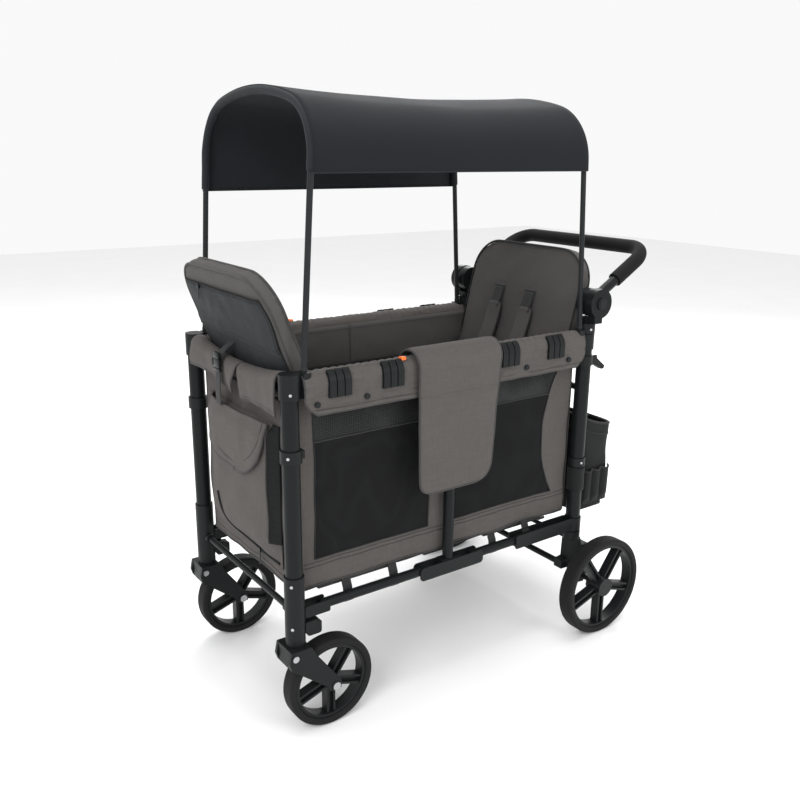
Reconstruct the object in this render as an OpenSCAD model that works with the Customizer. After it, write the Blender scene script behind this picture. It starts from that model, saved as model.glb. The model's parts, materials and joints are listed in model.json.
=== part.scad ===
// Folding pull-and-push wagon for two children, with a canopy and a rear handle.
// +Z is up and +Y points to the handle end. The origin is on the ground,
// midway between the four corner posts. Millimetres.

/* [Frame] */
// Distance from the middle plane to each side frame
side_x = 226; // [215:1:240]
// Distance from the middle plane to the front and rear posts
post_y = 404; // [395:1:412]
// Radius of the post tubes
post_r = 18; // [15:0.5:19]
// Wall of the post tubes
post_wall = 2.2; // [1.5:0.1:3]
// Height of the lower rails
rail_z = 285; // [275:1:295]
// Radius of the rails
rail_r = 11; // [9:0.5:12]
// Distance between the two pivots of each rail
rail_span = 262; // [255:1:264]
// Height of the upper rails
top_z = 765; // [750:1:775]

/* [Wheels] */
// Radius of the front wheels
front_wheel_r = 101.6; // [90:0.5:104]
// Width of the tyres
tyre_w = 40; // [34:1:42]
// Distance from the swivel axis back to the front axle
trail = 77; // [72:1:82]
// Radius of the rear wheels
rear_wheel_r = 127; // [120:0.5:130]
// Spokes in each wheel
spokes = 5; // [4:1:7]

/* [Body] */
// Distance from the middle plane to the side cloth
cloth_x = 205; // [200:1:206]
// Thickness of the cloth walls
cloth_t = 3; // [2:0.5:4]
// Underside of the cloth body
body_z = 318; // [305:1:325]
// Radius of the padded top roll
roll_r = 24; // [22:0.5:26]
// Lower edge of the valance under the roll
valance_z = 705; // [695:1:720]

/* [Seats] */
// Half width of the seats
seat_x = 196; // [180:1:200]
// Height of the seat surface
seat_z = 480; // [465:1:490]
// Thickness of the seat backs
back_t = 30; // [22:1:34]
// Lean of the front seat back in degrees
front_lean = 21; // [15:0.5:24]
// Lean of the rear seat back in degrees
rear_lean = 14; // [8:0.5:18]

/* [Handle] */
// Height of the handle hinge
hinge_z = 853; // [848:1:860]
// Slope of the handle arms in degrees
arm_slope = 30.7; // [20:0.5:40]
// Length of the arms from the hinge to the cross bar
arm_len = 226; // [200:1:240]
// Radius of the handle tube
arm_r = 12.5; // [10:0.5:13]
// Radius of the foam grip
grip_r = 17.5; // [15.5:0.5:18]

/* [Canopy] */
// Radius of the hoop tube
hoop_r = 6; // [5:0.5:7]
// Top of the canopy
canopy_z = 1318; // [1290:1:1330]
// Lower edge of the canopy cloth
canopy_hem = 1130; // [1110:1:1150]
// Lean of the hoops towards each other in degrees
hoop_lean = 3.5; // [2:0.5:5]
// Radius of the hoop corners
hoop_corner = 110; // [95:1:115]

/* [Hidden] */
$fn = 48;
gap = 0.3;                          // running clearance between neighbours
front_pivot_y = -340;               // lower pivot behind the front post
mid_front_y = front_pivot_y + rail_span;
rear_pivot_y = 328;                 // lower pivot in the rear bracket
mid_rear_y = rear_pivot_y - rail_span;
top_shift = 12;                     // upper pivots sit further from the middle
pin_r = 4;
cap_low = 740;
cap_high = 790;
foot_low = 214;
foot_high = 368;
foot_floor = 241;                   // the post stands on this inside the foot
boss_r = 21;                        // outer radius of the fittings round a post
axle_z = front_wheel_r;
axle_y = -post_y + trail;
rear_axle_y = 440;
rear_wheel_x = 299;
hoop_x = side_x + 6;
hoop_y = post_y - 29;
bar_bend = 55;                      // bend radius of the handle's corners

// Angle that each rounded corner of a hoop turns through
corner_turn = 75;
hoop_foot = cap_high + 5;
arch_x = hoop_x - hoop_corner;
arch_r = arch_x / cos(corner_turn) + hoop_corner;
// Height of the arch's top above the centres of its corners
arch_rise = arch_r - (arch_r - hoop_corner) * sin(corner_turn);
sheet_gap = hoop_r + 2;
corner_z = canopy_z - cloth_t - sheet_gap - arch_rise;

// Copies a piece to the left-hand side
module pair() {
    children();
    mirror([1, 0, 0]) children();
}

// Cylinder along X, centred
module rod_x(length, r) {
    rotate([0, 90, 0]) cylinder(h = length, r = r, center = true);
}

// Cylinder along Y from y0 to y1
module rod_y(y0, y1, r) {
    translate([0, y0, 0]) rotate([-90, 0, 0]) cylinder(h = y1 - y0, r = r);
}

// Straight tube standing on z0
module sleeve(z0, z1, outer, inner) {
    translate([0, 0, z0]) difference() {
        cylinder(h = z1 - z0, r = outer);
        translate([0, 0, -1]) cylinder(h = z1 - z0 + 2, r = inner);
    }
}

// Tube along Y from y0 to y1
module sleeve_y(y0, y1, outer, inner) {
    difference() {
        rod_y(y0, y1, outer);
        rod_y(y0 - 1, y1 + 1, inner);
    }
}

// Rectangle from corner to corner with round corners
module plate_2d(a, b, r) {
    translate([a[0] + r, a[1]]) square([b[0] - a[0] - 2 * r, b[1] - a[1]]);
    translate([a[0], a[1] + r]) square([b[0] - a[0], b[1] - a[1] - 2 * r]);
    for (x = [a[0] + r, b[0] - r], y = [a[1] + r, b[1] - r]) translate([x, y]) circle(r);
}

// Stands a YZ outline up at x0 and gives it a thickness towards +X
module upright(x0, t) {
    translate([x0, 0, 0]) rotate([90, 0, 90]) linear_extrude(t) children();
}

// Tube round a post at side_x and the given y
module post_ring(y, z0, z1, outer) {
    translate([side_x, y, 0]) sleeve(z0, z1, outer, post_r + gap);
}

// Fork of two plates that a rail pivots in, with its pin, from y0 to y1
module clevis(y0, y1, z, half, pin_y) {
    for (x = [side_x - 15, side_x + rail_r + gap])
        upright(x, 15 - rail_r - gap)
            plate_2d([y0, z - half], [y1, z + half], 4);
    translate([side_x, pin_y, z]) rod_x(30, pin_r);
}

// Rail from one pivot to the other, bored for its pins
module rail(y0, y1, z) {
    end = 5;
    difference() {
        translate([side_x, 0, z]) rod_y(y0 - end, y1 + end, rail_r);
        for (y = [y0, y1]) translate([side_x, y, z]) rod_x(3 * rail_r, pin_r + gap);
    }
}

// Socket that a canopy pole drops into; s is -1 in front and 1 behind
module hoop_socket(s) {
    reach = hoop_y - 10;
    face = post_y - boss_r - 1.2;
    difference() {
        translate([side_x - 10, min(s * reach, s * face), cap_low])
            cube([27, face - reach, cap_high - cap_low]);
        translate([hoop_x, s * hoop_y, cap_low + 4]) cylinder(h = 60, r = hoop_r + gap);
    }
}

module front_posts() {
    color("#26282a") pair() translate([side_x, -post_y, 0])
        sleeve(foot_floor, cap_low + 14, post_r, post_r - post_wall);
}

// Cap with the pole socket and the rail clevis on top, and a collar below it
module front_post_trims() {
    color("#1b1c1e") pair() {
        post_ring(-post_y, cap_low, cap_low + 15, boss_r);
        translate([side_x, -post_y, cap_low + 15]) cylinder(h = 35, r = boss_r);
        translate([side_x - 10, -post_y + post_r + 1, cap_low]) cube([20, 3.5, 50]);
        hoop_socket(-1);
        clevis(-hoop_y + 4, -340, top_z, 12, front_pivot_y - top_shift);
        post_ring(-post_y, 612, 638, boss_r + 1);
        translate([side_x - 6, -post_y + boss_r, 617]) cube([12, 7, 16]);
    }
}

// Foot that joins the post, the lower rail and the caster
module front_feet() {
    color("#232527") pair() {
        post_ring(-post_y, foot_floor - 1, foot_high, boss_r);
        difference() {
            translate([side_x, -post_y, foot_low]) cylinder(h = foot_floor - foot_low, r = boss_r);
            translate([side_x, -post_y, foot_low - 1]) cylinder(h = 24, r = 6 + gap);
        }
        clevis(-post_y + 16.5, front_pivot_y + 12, rail_z, 13, front_pivot_y);
        for (x = [side_x - 15, side_x + rail_r + gap])
            upright(x, 15 - rail_r - gap) plate_2d([-post_y + 16.5, 238], [-359, 262], 4);
        translate([side_x, -368, 250]) rod_x(28, 3);
        difference() {
            translate([side_x - boss_r - 5, -post_y, rail_z]) rod_x(14, 11);
            translate([side_x - boss_r - 6, -post_y, rail_z]) rod_x(16, 7 + gap);
        }
    }
}

module front_cross_tubes() {
    color("#26282a") {
        translate([0, -post_y, rail_z]) rod_x(2 * (side_x - boss_r) - 1, 7);
        translate([0, -post_y, top_z - 13]) rod_x(2 * (side_x - boss_r) - 1, 8);
    }
}

// Padded roll over the upper front tube
module front_cover() {
    color("#6b6866") difference() {
        upright(-198, 396) plate_2d([-post_y - 20, 702], [-post_y + 20, 790], 18);
        translate([0, -post_y, top_z - 13]) rod_x(500, 8 + gap);
    }
}

module front_panel() {
    color("#6b6866") translate([-200, -391, body_z]) cube([400, cloth_t, 380]);
}

module front_pocket() {
    color("#6b6866") translate([0, -392, 0]) rotate([90, 0, 0])
        linear_extrude(32) plate_2d([-160, 350], [160, 660], 30);
}

module front_side_panels() {
    color("#6b6866") pair() translate([cloth_x, -380, body_z])
        cube([cloth_t, 377, cap_low - body_z - 2]);
}

// Foot lever that stops the caster from turning
module swivel_lock(s) {
    color("#1b1c1e") difference() {
        translate([s * side_x, 0, 0]) upright(-10.5, 21) plate_2d([-381, 226], [-347, 256], 6);
        translate([s * side_x, -368, 250]) rod_x(60, 3 + gap);
    }
}

// Side outline of a caster fork, measured from the swivel axis
module fork_outline() {
    polygon([[-32, 188], [-27, 213.6], [20, 213.6], [30, 194], [91, 110], [90, 93],
             [68, 90], [58, 104], [-8, 158], [-27, 172]]);
}

module caster_fork(s) {
    plate_x = 25;
    plate_t = 8;
    color("#2a2c2f") translate([s * side_x, -post_y, 0]) difference() {
        union() {
            upright(plate_x, plate_t) fork_outline();
            upright(-plate_x - plate_t, plate_t) fork_outline();
            translate([-plate_x - 2, -27, 172]) cube([2 * plate_x + 4, 47, 41.6]);
            cylinder(h = 236, r = 6);
        }
        translate([0, trail, axle_z]) rod_x(2 * plate_x, front_wheel_r + 4);
        translate([0, 0, -1]) cylinder(h = 150, r = 8);
        translate([0, trail, axle_z]) rod_x(100, 5 + gap);
        translate([0, -19, 200]) rod_x(100, 4 + gap);
    }
}

// Pivot bolt and axle bolt of one caster
module caster_bolts(s) {
    color("#8b8d90") translate([s * side_x, -post_y, 0]) {
        translate([0, trail, axle_z]) {
            rod_x(74, 5);
            for (x = [-35.3, 35.3]) translate([x, 0, 0]) rod_x(4, 9);
        }
        translate([0, -19, 200]) {
            rod_x(74, 4);
            for (x = [-35.3, 35.3]) translate([x, 0, 0]) rod_x(4, 7);
        }
    }
}

// Spoked rim on the X axis; bore is blind when cap is set
module rim(r, hub_r, hub_w, bore, cap) {
    outer = r - 17 - gap;
    rib_gap = 16;
    rotate([0, 90, 0]) difference() {
        union() {
            translate([0, 0, -14]) difference() {
                cylinder(h = 28, r = outer);
                translate([0, 0, -1]) cylinder(h = 30, r = outer - 6);
            }
            translate([0, 0, -hub_w / 2]) cylinder(h = hub_w, r = hub_r);
            for (i = [0 : spokes - 1]) rotate(i * 360 / spokes) {
                for (y = [-rib_gap / 2, rib_gap / 2])
                    translate([hub_r - 4, y - 2.5, -11]) cube([outer - hub_r, 5, 22]);
                translate([hub_r - 4, -rib_gap / 2, -3]) cube([outer - hub_r, rib_gap, 6]);
            }
        }
        translate([0, 0, -hub_w / 2 - 1]) cylinder(h = hub_w + (cap ? -5 : 2), r = bore);
    }
}

module tyre(r) {
    rotate([0, 90, 0]) rotate_extrude()
        plate_2d([r - 17, -tyre_w / 2], [r, tyre_w / 2], 7);
}

module front_rim(s) {
    color("#2c2e30") translate([s * side_x, axle_y, axle_z])
        rim(front_wheel_r, 18, 46, 5 + gap, false);
}

module front_tyre(s) {
    color("#17181a") translate([s * side_x, axle_y, axle_z]) tyre(front_wheel_r);
}

module rear_rim(s) {
    color("#2c2e30") translate([s * rear_wheel_x, rear_axle_y, rear_wheel_r])
        rotate([0, 0, s < 0 ? 180 : 0]) rim(rear_wheel_r, 24, 46, 7 + gap, true);
}

module rear_tyre(s) {
    color("#17181a") translate([s * rear_wheel_x, rear_axle_y, rear_wheel_r])
        tyre(rear_wheel_r);
}

module front_lower_rails() {
    color("#26282a") pair() rail(front_pivot_y, mid_front_y, rail_z);
}

module rear_lower_rails() {
    color("#26282a") pair() rail(mid_rear_y, rear_pivot_y, rail_z);
}

module front_upper_rails() {
    color("#26282a") pair() rail(front_pivot_y - top_shift, mid_front_y - top_shift, top_z);
}

module rear_upper_rails() {
    color("#26282a") pair() rail(mid_rear_y + top_shift, rear_pivot_y + top_shift, top_z);
}

// Board under the front half of the floor cloth
module front_floor() {
    color("#3a3b3d") translate([-195, -330, 302]) cube([390, 192, 6]);
}

module rear_floor() {
    color("#3a3b3d") translate([-195, 130, 302]) cube([390, 190, 6]);
}

module mid_floor() {
    color("#3a3b3d") translate([-195, -50, 302]) cube([390, 88, 6]);
}

module mid_posts() {
    color("#26282a") pair() translate([side_x, -6, 0]) sleeve(301, top_z - 14.3, 12.5, 10.5);
}

// Lower and upper fittings that carry the middle ends of the rails
module mid_brackets() {
    color("#1b1c1e") pair() {
        for (x = [side_x - 15, side_x + rail_r + gap])
            upright(x, 15 - rail_r - gap)
                plate_2d([mid_front_y - 14, rail_z - 19], [mid_rear_y + 24, rail_z + 13], 9);
        for (y = [mid_front_y, mid_rear_y]) translate([side_x, y, rail_z]) rod_x(30, pin_r);
        translate([side_x - 12, -30, rail_z - 15]) cube([24, 50, 30.7]);
        for (x = [side_x - 15, side_x + rail_r + gap])
            upright(x, 15 - rail_r - gap)
                plate_2d([mid_front_y - 22, top_z - 11], [mid_rear_y + 22, top_z + 9], 5);
        for (y = [mid_front_y - top_shift, mid_rear_y + top_shift])
            translate([side_x, y, top_z]) rod_x(30, pin_r);
        translate([side_x - 12, -30, top_z - 13.9]) cube([24, 50, 22]);
    }
}

// Stands an XZ outline between y0 and y1
module crosswise(y0, y1) {
    translate([0, y1, 0]) rotate([90, 0, 0]) linear_extrude(y1 - y0) children();
}

// Padded cover of an upper rail with the valance that hangs from it
module rail_cover(y0, y1) {
    color("#6b6866") pair() {
        translate([side_x, 0, top_z]) sleeve_y(y0, y1, roll_r, rail_r + 0.6);
        translate([side_x + roll_r - 6, y0, valance_z]) cube([cloth_t, y1 - y0, top_z - valance_z]);
    }
}

module front_rail_covers() {
    rail_cover(-336, -104);
}

module rear_rail_covers() {
    rail_cover(92, 328);
}

module mid_rail_covers() {
    color("#6b6866") difference() {
        pair() translate([side_x, 0, top_z]) sleeve_y(-102, 90, roll_r, roll_r - 3.6);
        pair() translate([side_x, -6, 700]) cylinder(h = 60, r = 12.5 + gap);
    }
}

// Band that wraps the outside of a roll over part of its length
module clip_band(y0, y1, t) {
    inner = roll_r + 0.4;
    translate([side_x, 0, top_z]) crosswise(y0, y1) {
        intersection() {
            difference() {
                circle(inner + t);
                circle(inner);
            }
            translate([14.5, 0]) square([20, 28]);
        }
        translate([inner, -28]) square([t, 28]);
    }
}

// Ribbed clips that hold the covers on the rails
module rail_clips(places) {
    color("#151617") pair() for (y = places) {
        clip_band(y - 26, y + 26, 2.5);
        for (y0 = [y - 25, y - 7.5, y + 10])
            clip_band(y0, y0 + 15, 5);
    }
}

module front_rail_clips() {
    rail_clips([-306, -180]);
}

module rear_rail_clips() {
    rail_clips([139, 280]);
}

// Padded flap that hangs over the middle of the right-hand rail
module side_flap() {
    inner = 32.5;
    outer = 39;
    color("#6b6866") crosswise(-124, 110) {
        translate([side_x, top_z]) intersection() {
            difference() {
                circle(outer);
                circle(inner);
            }
            translate([-outer, 0]) square([2 * outer, outer]);
        }
        translate([side_x + inner, 486]) square([outer - inner, top_z - 486]);
        translate([side_x - outer, 744]) square([outer - inner, top_z - 744]);
    }
}

module rear_posts() {
    color("#26282a") pair() translate([side_x, post_y, 0])
        sleeve(foot_floor, 800, post_r, post_r - post_wall);
}

// Clamp collars with the lugs of the cam levers, and the collars of the basket
module rear_collars() {
    color("#1b1c1e") pair() {
        post_ring(post_y, 780, 804, boss_r + 0.5);
        post_ring(post_y, 700, 724, boss_r);
        for (x = [side_x - 11, side_x + 7.5])
            upright(x, 3.5) plate_2d([post_y + 18.5, 702], [post_y + 35, 722], 4);
        translate([side_x, post_y + 28, 712]) rod_x(20, 3);
        post_ring(post_y, 440, 462, boss_r);
    }
}

// Fittings that carry the rear ends of the lower and upper rails
module rear_corner_brackets() {
    color("#1b1c1e") pair() {
        post_ring(post_y, 266, 300, boss_r);
        clevis(196, post_y - 16, rail_z, 17, rear_pivot_y);
        translate([side_x - 15, 204, rail_z - 17]) cube([30, 176, 4.5]);
        post_ring(post_y, cap_low, 778, boss_r);
        translate([side_x - 10, post_y - boss_r - 1.5, cap_low]) cube([20, 3.5, 38]);
        hoop_socket(1);
        clevis(331, hoop_y - 4, top_z, 12, rear_pivot_y + top_shift);
    }
}

// Legs that carry the rear axles
module rear_legs() {
    half = 13;
    color("#232527") pair() {
        post_ring(post_y, 240, 262, boss_r);
        difference() {
            upright(side_x - half, 2 * half) {
                polygon([[384, 240.5], [424, 240.5], [430, 216], [455, 216], [466, 205],
                         [455, 194], [446, 180], [458, 140], [456, 116], [446, 108], [428, 110],
                         [404, 158], [382, 167], [360, 168], [360, 189], [382, 192]]);
            }
            translate([side_x, 455, 205]) rod_x(60, 6 + gap);
            translate([side_x, 370, 178]) rod_x(60, 8 + gap);
        }
        translate([side_x + half + 38, rear_axle_y, rear_wheel_r]) rod_x(76, 7);
    }
}

module rear_cross_tubes() {
    color("#26282a") {
        translate([0, 370, 178]) rod_x(2 * side_x + 20, 8);
        translate([0, post_y, 640]) rod_x(2 * (side_x - post_r) - 1, 8);
    }
}

module rear_panel() {
    color("#6b6866") translate([-200, 390, body_z]) cube([400, cloth_t, 382]);
}

module rear_side_panels() {
    color("#6b6866") pair() translate([cloth_x, 3, body_z])
        cube([cloth_t, 377, cap_low - body_z - 2]);
}

// Open storage bag behind the rear panel
module basket() {
    color("#161718") difference() {
        upright(-208, 416) polygon([[430, 296], [552, 296], [567, 505], [560, 520], [430, 560]]);
        upright(-205, 410) polygon([[433, 299], [549, 299], [564, 505], [561, 580], [433, 580]]);
    }
}

// Bar that pins both rear wheels, with its foot pedal
module brake_bar() {
    color("#2a2c2f") {
        translate([0, 455, 205]) rod_x(2 * side_x + 60, 6);
        upright(-35, 70) plate_2d([455, 199], [500, 206], 3);
        pair() upright(side_x + 16, 9) plate_2d([448, 176], [462, 211], 4);
    }
}

// Telescopic stems with the fixed half of each handle hinge
module handle_stems() {
    disc_r = 35;
    disc_x = side_x + 15;
    color("#1d1f21") pair() {
        translate([side_x, post_y, 0]) sleeve(640, 810, post_r - post_wall - 1.3, 11.5);
        translate([side_x - 14, post_y - 13, 806]) cube([36, 26, 12.6]);
        translate([disc_x, post_y - 12, 806]) cube([21, 26, 30]);
        difference() {
            translate([disc_x + 10.5, post_y + 8, hinge_z]) rod_x(21, disc_r);
            translate([disc_x + 16, post_y + 8, hinge_z]) rod_x(12, 14 + gap);
        }
        translate([disc_x - 15, post_y + 8, hinge_z]) rod_x(32, 6);
    }
}

// Half of the handle's centre line, swept with a circle of radius r
module bow_path(r) {
    straight = arm_len - bar_bend;
    arm_x = side_x + 2;
    translate([arm_x, 20, 0]) rotate([-90, 0, 0]) cylinder(h = straight - 20, r = r);
    translate([arm_x - bar_bend, straight, 0]) rotate_extrude(angle = 90)
        translate([bar_bend, 0]) circle(r);
    translate([0, arm_len, 0]) rotate([0, 90, 0]) cylinder(h = arm_x - bar_bend, r = r);
}

// Moves a piece drawn flat to the handle's hinge and slope
module on_handle() {
    translate([0, post_y + 8, hinge_z]) rotate([arm_slope, 0, 0]) children();
}

// Bent tube of the handle with the turning half of each hinge
module handle_bow() {
    color("#232527") on_handle() pair() {
        difference() {
            translate([side_x, 0, 0]) rod_x(28, 33);
            translate([side_x, 0, 0]) rod_x(40, 6 + gap);
        }
        bow_path(arm_r);
    }
}

// Foam grip over the outer part of the handle
module handle_grip() {
    start = 92;
    color("#151617") on_handle() difference() {
        pair() intersection() {
            bow_path(grip_r);
            translate([-1, start, -50]) cube([400, 400, 100]);
        }
        pair() bow_path(arm_r + gap);
    }
}

// Button in the middle of a handle hinge
module handle_button(s) {
    color("#3b3d40") translate([s * (side_x + 35.5), post_y + 8, hinge_z]) {
        rod_x(9, 14);
        translate([s * 4.5, 0, 0]) rod_x(2, 10);
    }
}

// Lever that clamps a telescopic stem
module clamp_lever(s) {
    color("#2f3235") difference() {
        translate([s * side_x, 0, 0]) upright(-7, 14)
            polygon([[428.5, 716.5], [438, 719], [444, 712], [472, 690], [470, 683],
                     [462, 682], [430, 700], [425.5, 706]]);
        translate([s * side_x, post_y + 28, 712]) rod_x(60, 3 + gap);
    }
}

// Ring that joins two lengths of hoop tube
module hoop_joint() {
    sphere(hoop_r + 0.8, $fn = 32);
}

// Half of a hoop, standing at x = hoop_x with its foot at z = 0
module hoop_half() {
    height = (corner_z - hoop_foot) / cos(hoop_lean);
    cylinder(h = height, r = hoop_r, $fn = 32);
    translate([0, 0, height]) hoop_joint();
    translate([-hoop_corner, 0, height]) rotate([90, 0, 0]) {
        rotate_extrude(angle = corner_turn) translate([hoop_corner, 0]) circle(hoop_r, $fn = 32);
        rotate(corner_turn) translate([hoop_corner, 0, 0]) hoop_joint();
    }
}

// Canopy hoop; s is -1 in front and 1 behind
module hoop(s) {
    height = (corner_z - hoop_foot) / cos(hoop_lean);
    color("#55585c") {
        pair() translate([hoop_x, s * hoop_y, 0]) {
            translate([0, 0, cap_low + 5])
                cylinder(h = hoop_foot - cap_low - 5, r = hoop_r, $fn = 32);
            translate([0, 0, hoop_foot]) hoop_joint();
            translate([0, 0, hoop_foot]) rotate([s * hoop_lean, 0, 0]) hoop_half();
        }
        translate([0, s * hoop_y, hoop_foot]) rotate([s * hoop_lean, 0, 0])
            translate([0, 0, height + arch_rise - arch_r]) rotate([90, 0, 0])
                rotate(corner_turn) rotate_extrude(angle = 180 - 2 * corner_turn)
                    translate([arch_r, 0]) circle(hoop_r, $fn = 32);
    }
}

// Outline under the canopy sheet, grown by the given distance
module arch_2d(grow) {
    r = hoop_corner + grow;
    top = arch_r + grow;
    tip_x = arch_x + r * cos(corner_turn);
    tip_z = corner_z + r * sin(corner_turn);
    translate([-hoop_x - grow, canopy_hem - 50])
        square([2 * (hoop_x + grow), corner_z - canopy_hem + 50]);
    for (x = [-arch_x, arch_x]) translate([x, corner_z]) circle(r);
    polygon([[-arch_x, corner_z], [arch_x, corner_z], [tip_x, tip_z], [-tip_x, tip_z]]);
    translate([0, corner_z + arch_rise - arch_r]) intersection() {
        circle(top, $fn = 96);
        polygon([[0, 0], [2 * tip_x, 2 * top * sin(corner_turn)],
                 [-2 * tip_x, 2 * top * sin(corner_turn)]]);
    }
}

// Sheet stretched over both hoops
module canopy_fabric() {
    color("#3a3e41") intersection() {
        crosswise(-352, 352) difference() {
            arch_2d(sheet_gap + cloth_t);
            arch_2d(sheet_gap);
        }
        translate([-500, -500, canopy_hem]) cube([1000, 1000, 400]);
    }
}

// Padded seat back with its lower edge on the X axis, leaning back from +Y
module seat_back(length) {
    corner = 85;
    color("#5b5856") rotate([90, 0, 0]) linear_extrude(back_t) {
        plate_2d([-seat_x - 3, 0], [seat_x + 3, length], corner);
        translate([-seat_x - 3, 0]) square([2 * seat_x + 6, length / 2]);
    }
}

module front_seat_back() {
    translate([0, -235, seat_z + 10]) rotate([front_lean, 0, 0]) seat_back(520);
}

module rear_seat_back() {
    translate([0, 305, seat_z + 10]) mirror([0, 1, 0]) rotate([rear_lean, 0, 0]) seat_back(495);
}

module front_seat_base() {
    color("#5b5856") translate([-seat_x, -380, seat_z - 34]) cube([2 * seat_x, 310, 30]);
}

module rear_seat_base() {
    color("#5b5856") translate([-seat_x, 90, seat_z - 34]) cube([2 * seat_x, 290, 30]);
}

front_posts();
front_post_trims();
front_feet();
front_cross_tubes();
front_cover();
front_panel();
front_pocket();
front_side_panels();
swivel_lock(-1);  // swivel_lock_left
swivel_lock(1);  // swivel_lock_right
caster_fork(-1);  // caster_fork_left
caster_fork(1);  // caster_fork_right
caster_bolts(-1);  // caster_bolts_left
caster_bolts(1);  // caster_bolts_right
front_rim(-1);  // front_rim_left
front_rim(1);  // front_rim_right
front_tyre(-1);  // front_tyre_left
front_tyre(1);  // front_tyre_right
front_lower_rails();
front_floor();
mid_posts();
mid_brackets();
mid_floor();
mid_rail_covers();
side_flap();
rear_lower_rails();
rear_floor();
front_upper_rails();
front_rail_covers();
front_rail_clips();
rear_upper_rails();
rear_rail_covers();
rear_rail_clips();
rear_posts();
rear_collars();
rear_corner_brackets();
rear_legs();
rear_cross_tubes();
rear_panel();
rear_side_panels();
basket();
rear_rim(-1);  // rear_rim_left
rear_rim(1);  // rear_rim_right
rear_tyre(-1);  // rear_tyre_left
rear_tyre(1);  // rear_tyre_right
brake_bar();
handle_stems();
clamp_lever(-1);  // clamp_lever_left
clamp_lever(1);  // clamp_lever_right
handle_bow();
handle_grip();
handle_button(-1);  // handle_button_left
handle_button(1);  // handle_button_right
hoop(-1);  // front_hoop
hoop(1);  // rear_hoop
canopy_fabric();
front_seat_back();
rear_seat_back();
front_seat_base();
rear_seat_base();
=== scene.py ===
import json
import math
import bmesh
import bpy
from mathutils import Matrix, Vector, noise
from mathutils.bvhtree import BVHTree


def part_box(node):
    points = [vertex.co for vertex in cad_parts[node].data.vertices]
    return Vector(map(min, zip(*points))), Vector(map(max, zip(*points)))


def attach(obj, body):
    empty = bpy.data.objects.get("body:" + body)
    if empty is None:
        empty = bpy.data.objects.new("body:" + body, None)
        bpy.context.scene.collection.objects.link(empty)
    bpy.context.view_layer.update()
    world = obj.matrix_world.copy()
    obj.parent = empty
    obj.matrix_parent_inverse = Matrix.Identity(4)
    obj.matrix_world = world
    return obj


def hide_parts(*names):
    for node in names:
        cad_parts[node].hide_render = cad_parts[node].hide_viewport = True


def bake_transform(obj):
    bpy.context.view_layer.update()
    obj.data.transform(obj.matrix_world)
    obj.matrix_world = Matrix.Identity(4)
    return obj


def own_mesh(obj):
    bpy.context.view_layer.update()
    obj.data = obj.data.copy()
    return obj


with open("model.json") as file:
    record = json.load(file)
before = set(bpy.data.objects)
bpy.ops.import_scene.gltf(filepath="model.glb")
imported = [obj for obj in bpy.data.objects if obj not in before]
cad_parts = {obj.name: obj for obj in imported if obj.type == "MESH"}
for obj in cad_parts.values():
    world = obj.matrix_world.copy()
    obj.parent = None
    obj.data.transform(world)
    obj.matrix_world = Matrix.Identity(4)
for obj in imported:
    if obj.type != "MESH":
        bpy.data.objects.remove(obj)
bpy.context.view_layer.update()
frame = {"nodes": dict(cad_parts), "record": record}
NODES = frame["nodes"]
MM = 0.001


def corners(node):
    """Lowest and highest corner of a CAD node as plain vectors."""
    low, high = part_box(node)
    return Vector(low), Vector(high)


# Places that many pieces share, read from the frame.
POSTS_LOW, POSTS_HIGH = corners("front_posts")
POST_R = (POSTS_HIGH.y - POSTS_LOW.y) / 2
SIDE_X = POSTS_HIGH.x - POST_R
POST_Y = -(POSTS_LOW.y + POST_R)
MID_LOW, MID_HIGH = corners("mid_rail_covers")
ROLL_R = MID_HIGH.x - SIDE_X
ROLL_Z = MID_HIGH.z - ROLL_R
PANEL_LOW, PANEL_HIGH = corners("front_side_panels")
CLOTH_X = PANEL_HIGH.x
CLOTH_LOW = PANEL_LOW.z
FLAP_LOW, FLAP_HIGH = corners("side_flap")
VALANCE_Z = corners("front_rail_covers")[0].z

# Sides and ends of the wagon, as a sign along X or Y and a word for names.
SIDES = ((-1, "left"), (1, "right"))
ENDS = ((-1, "front"), (1, "rear"))


# ---------------------------------------------------------------- camera
def look(position, yaw, pitch, roll):
    """Camera matrix from a position and angles in radians; yaw 0 looks along +Y."""
    ahead = Vector((-math.sin(yaw) * math.cos(pitch),
                    math.cos(yaw) * math.cos(pitch), -math.sin(pitch)))
    side = ahead.cross(Vector((0, 0, 1))).normalized()
    up = side.cross(ahead)
    right = math.cos(roll) * side + math.sin(roll) * up
    top = -math.sin(roll) * side + math.cos(roll) * up
    turn = Matrix((right, top, -ahead)).transposed()
    return Matrix.Translation(position) @ turn.to_4x4()


# Camera fitted to lines read off the photo; lengths in metres, angles in radians.
CAMERA_PLACE = Vector((1.6348, -1.1539, 1.2003))
CAMERA_YAW, CAMERA_PITCH, CAMERA_ROLL = 0.9493, 0.2826, 0.0111
SENSOR_MM, LENS_MM = 36.0, 38.95

camera_data = bpy.data.cameras.new("camera")
camera_data.sensor_width = SENSOR_MM
camera_data.lens = LENS_MM
camera = bpy.data.objects.new("camera", camera_data)
camera.matrix_world = look(CAMERA_PLACE, CAMERA_YAW, CAMERA_PITCH, CAMERA_ROLL)
bpy.context.collection.objects.link(camera)
bpy.context.scene.camera = camera


# ---------------------------------------------------------------- mesh helpers
def new_object(name, data, *materials):
    thing = bpy.data.objects.new(name, data)
    bpy.context.collection.objects.link(thing)
    for finish in materials:
        data.materials.append(finish)
    return thing


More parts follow.
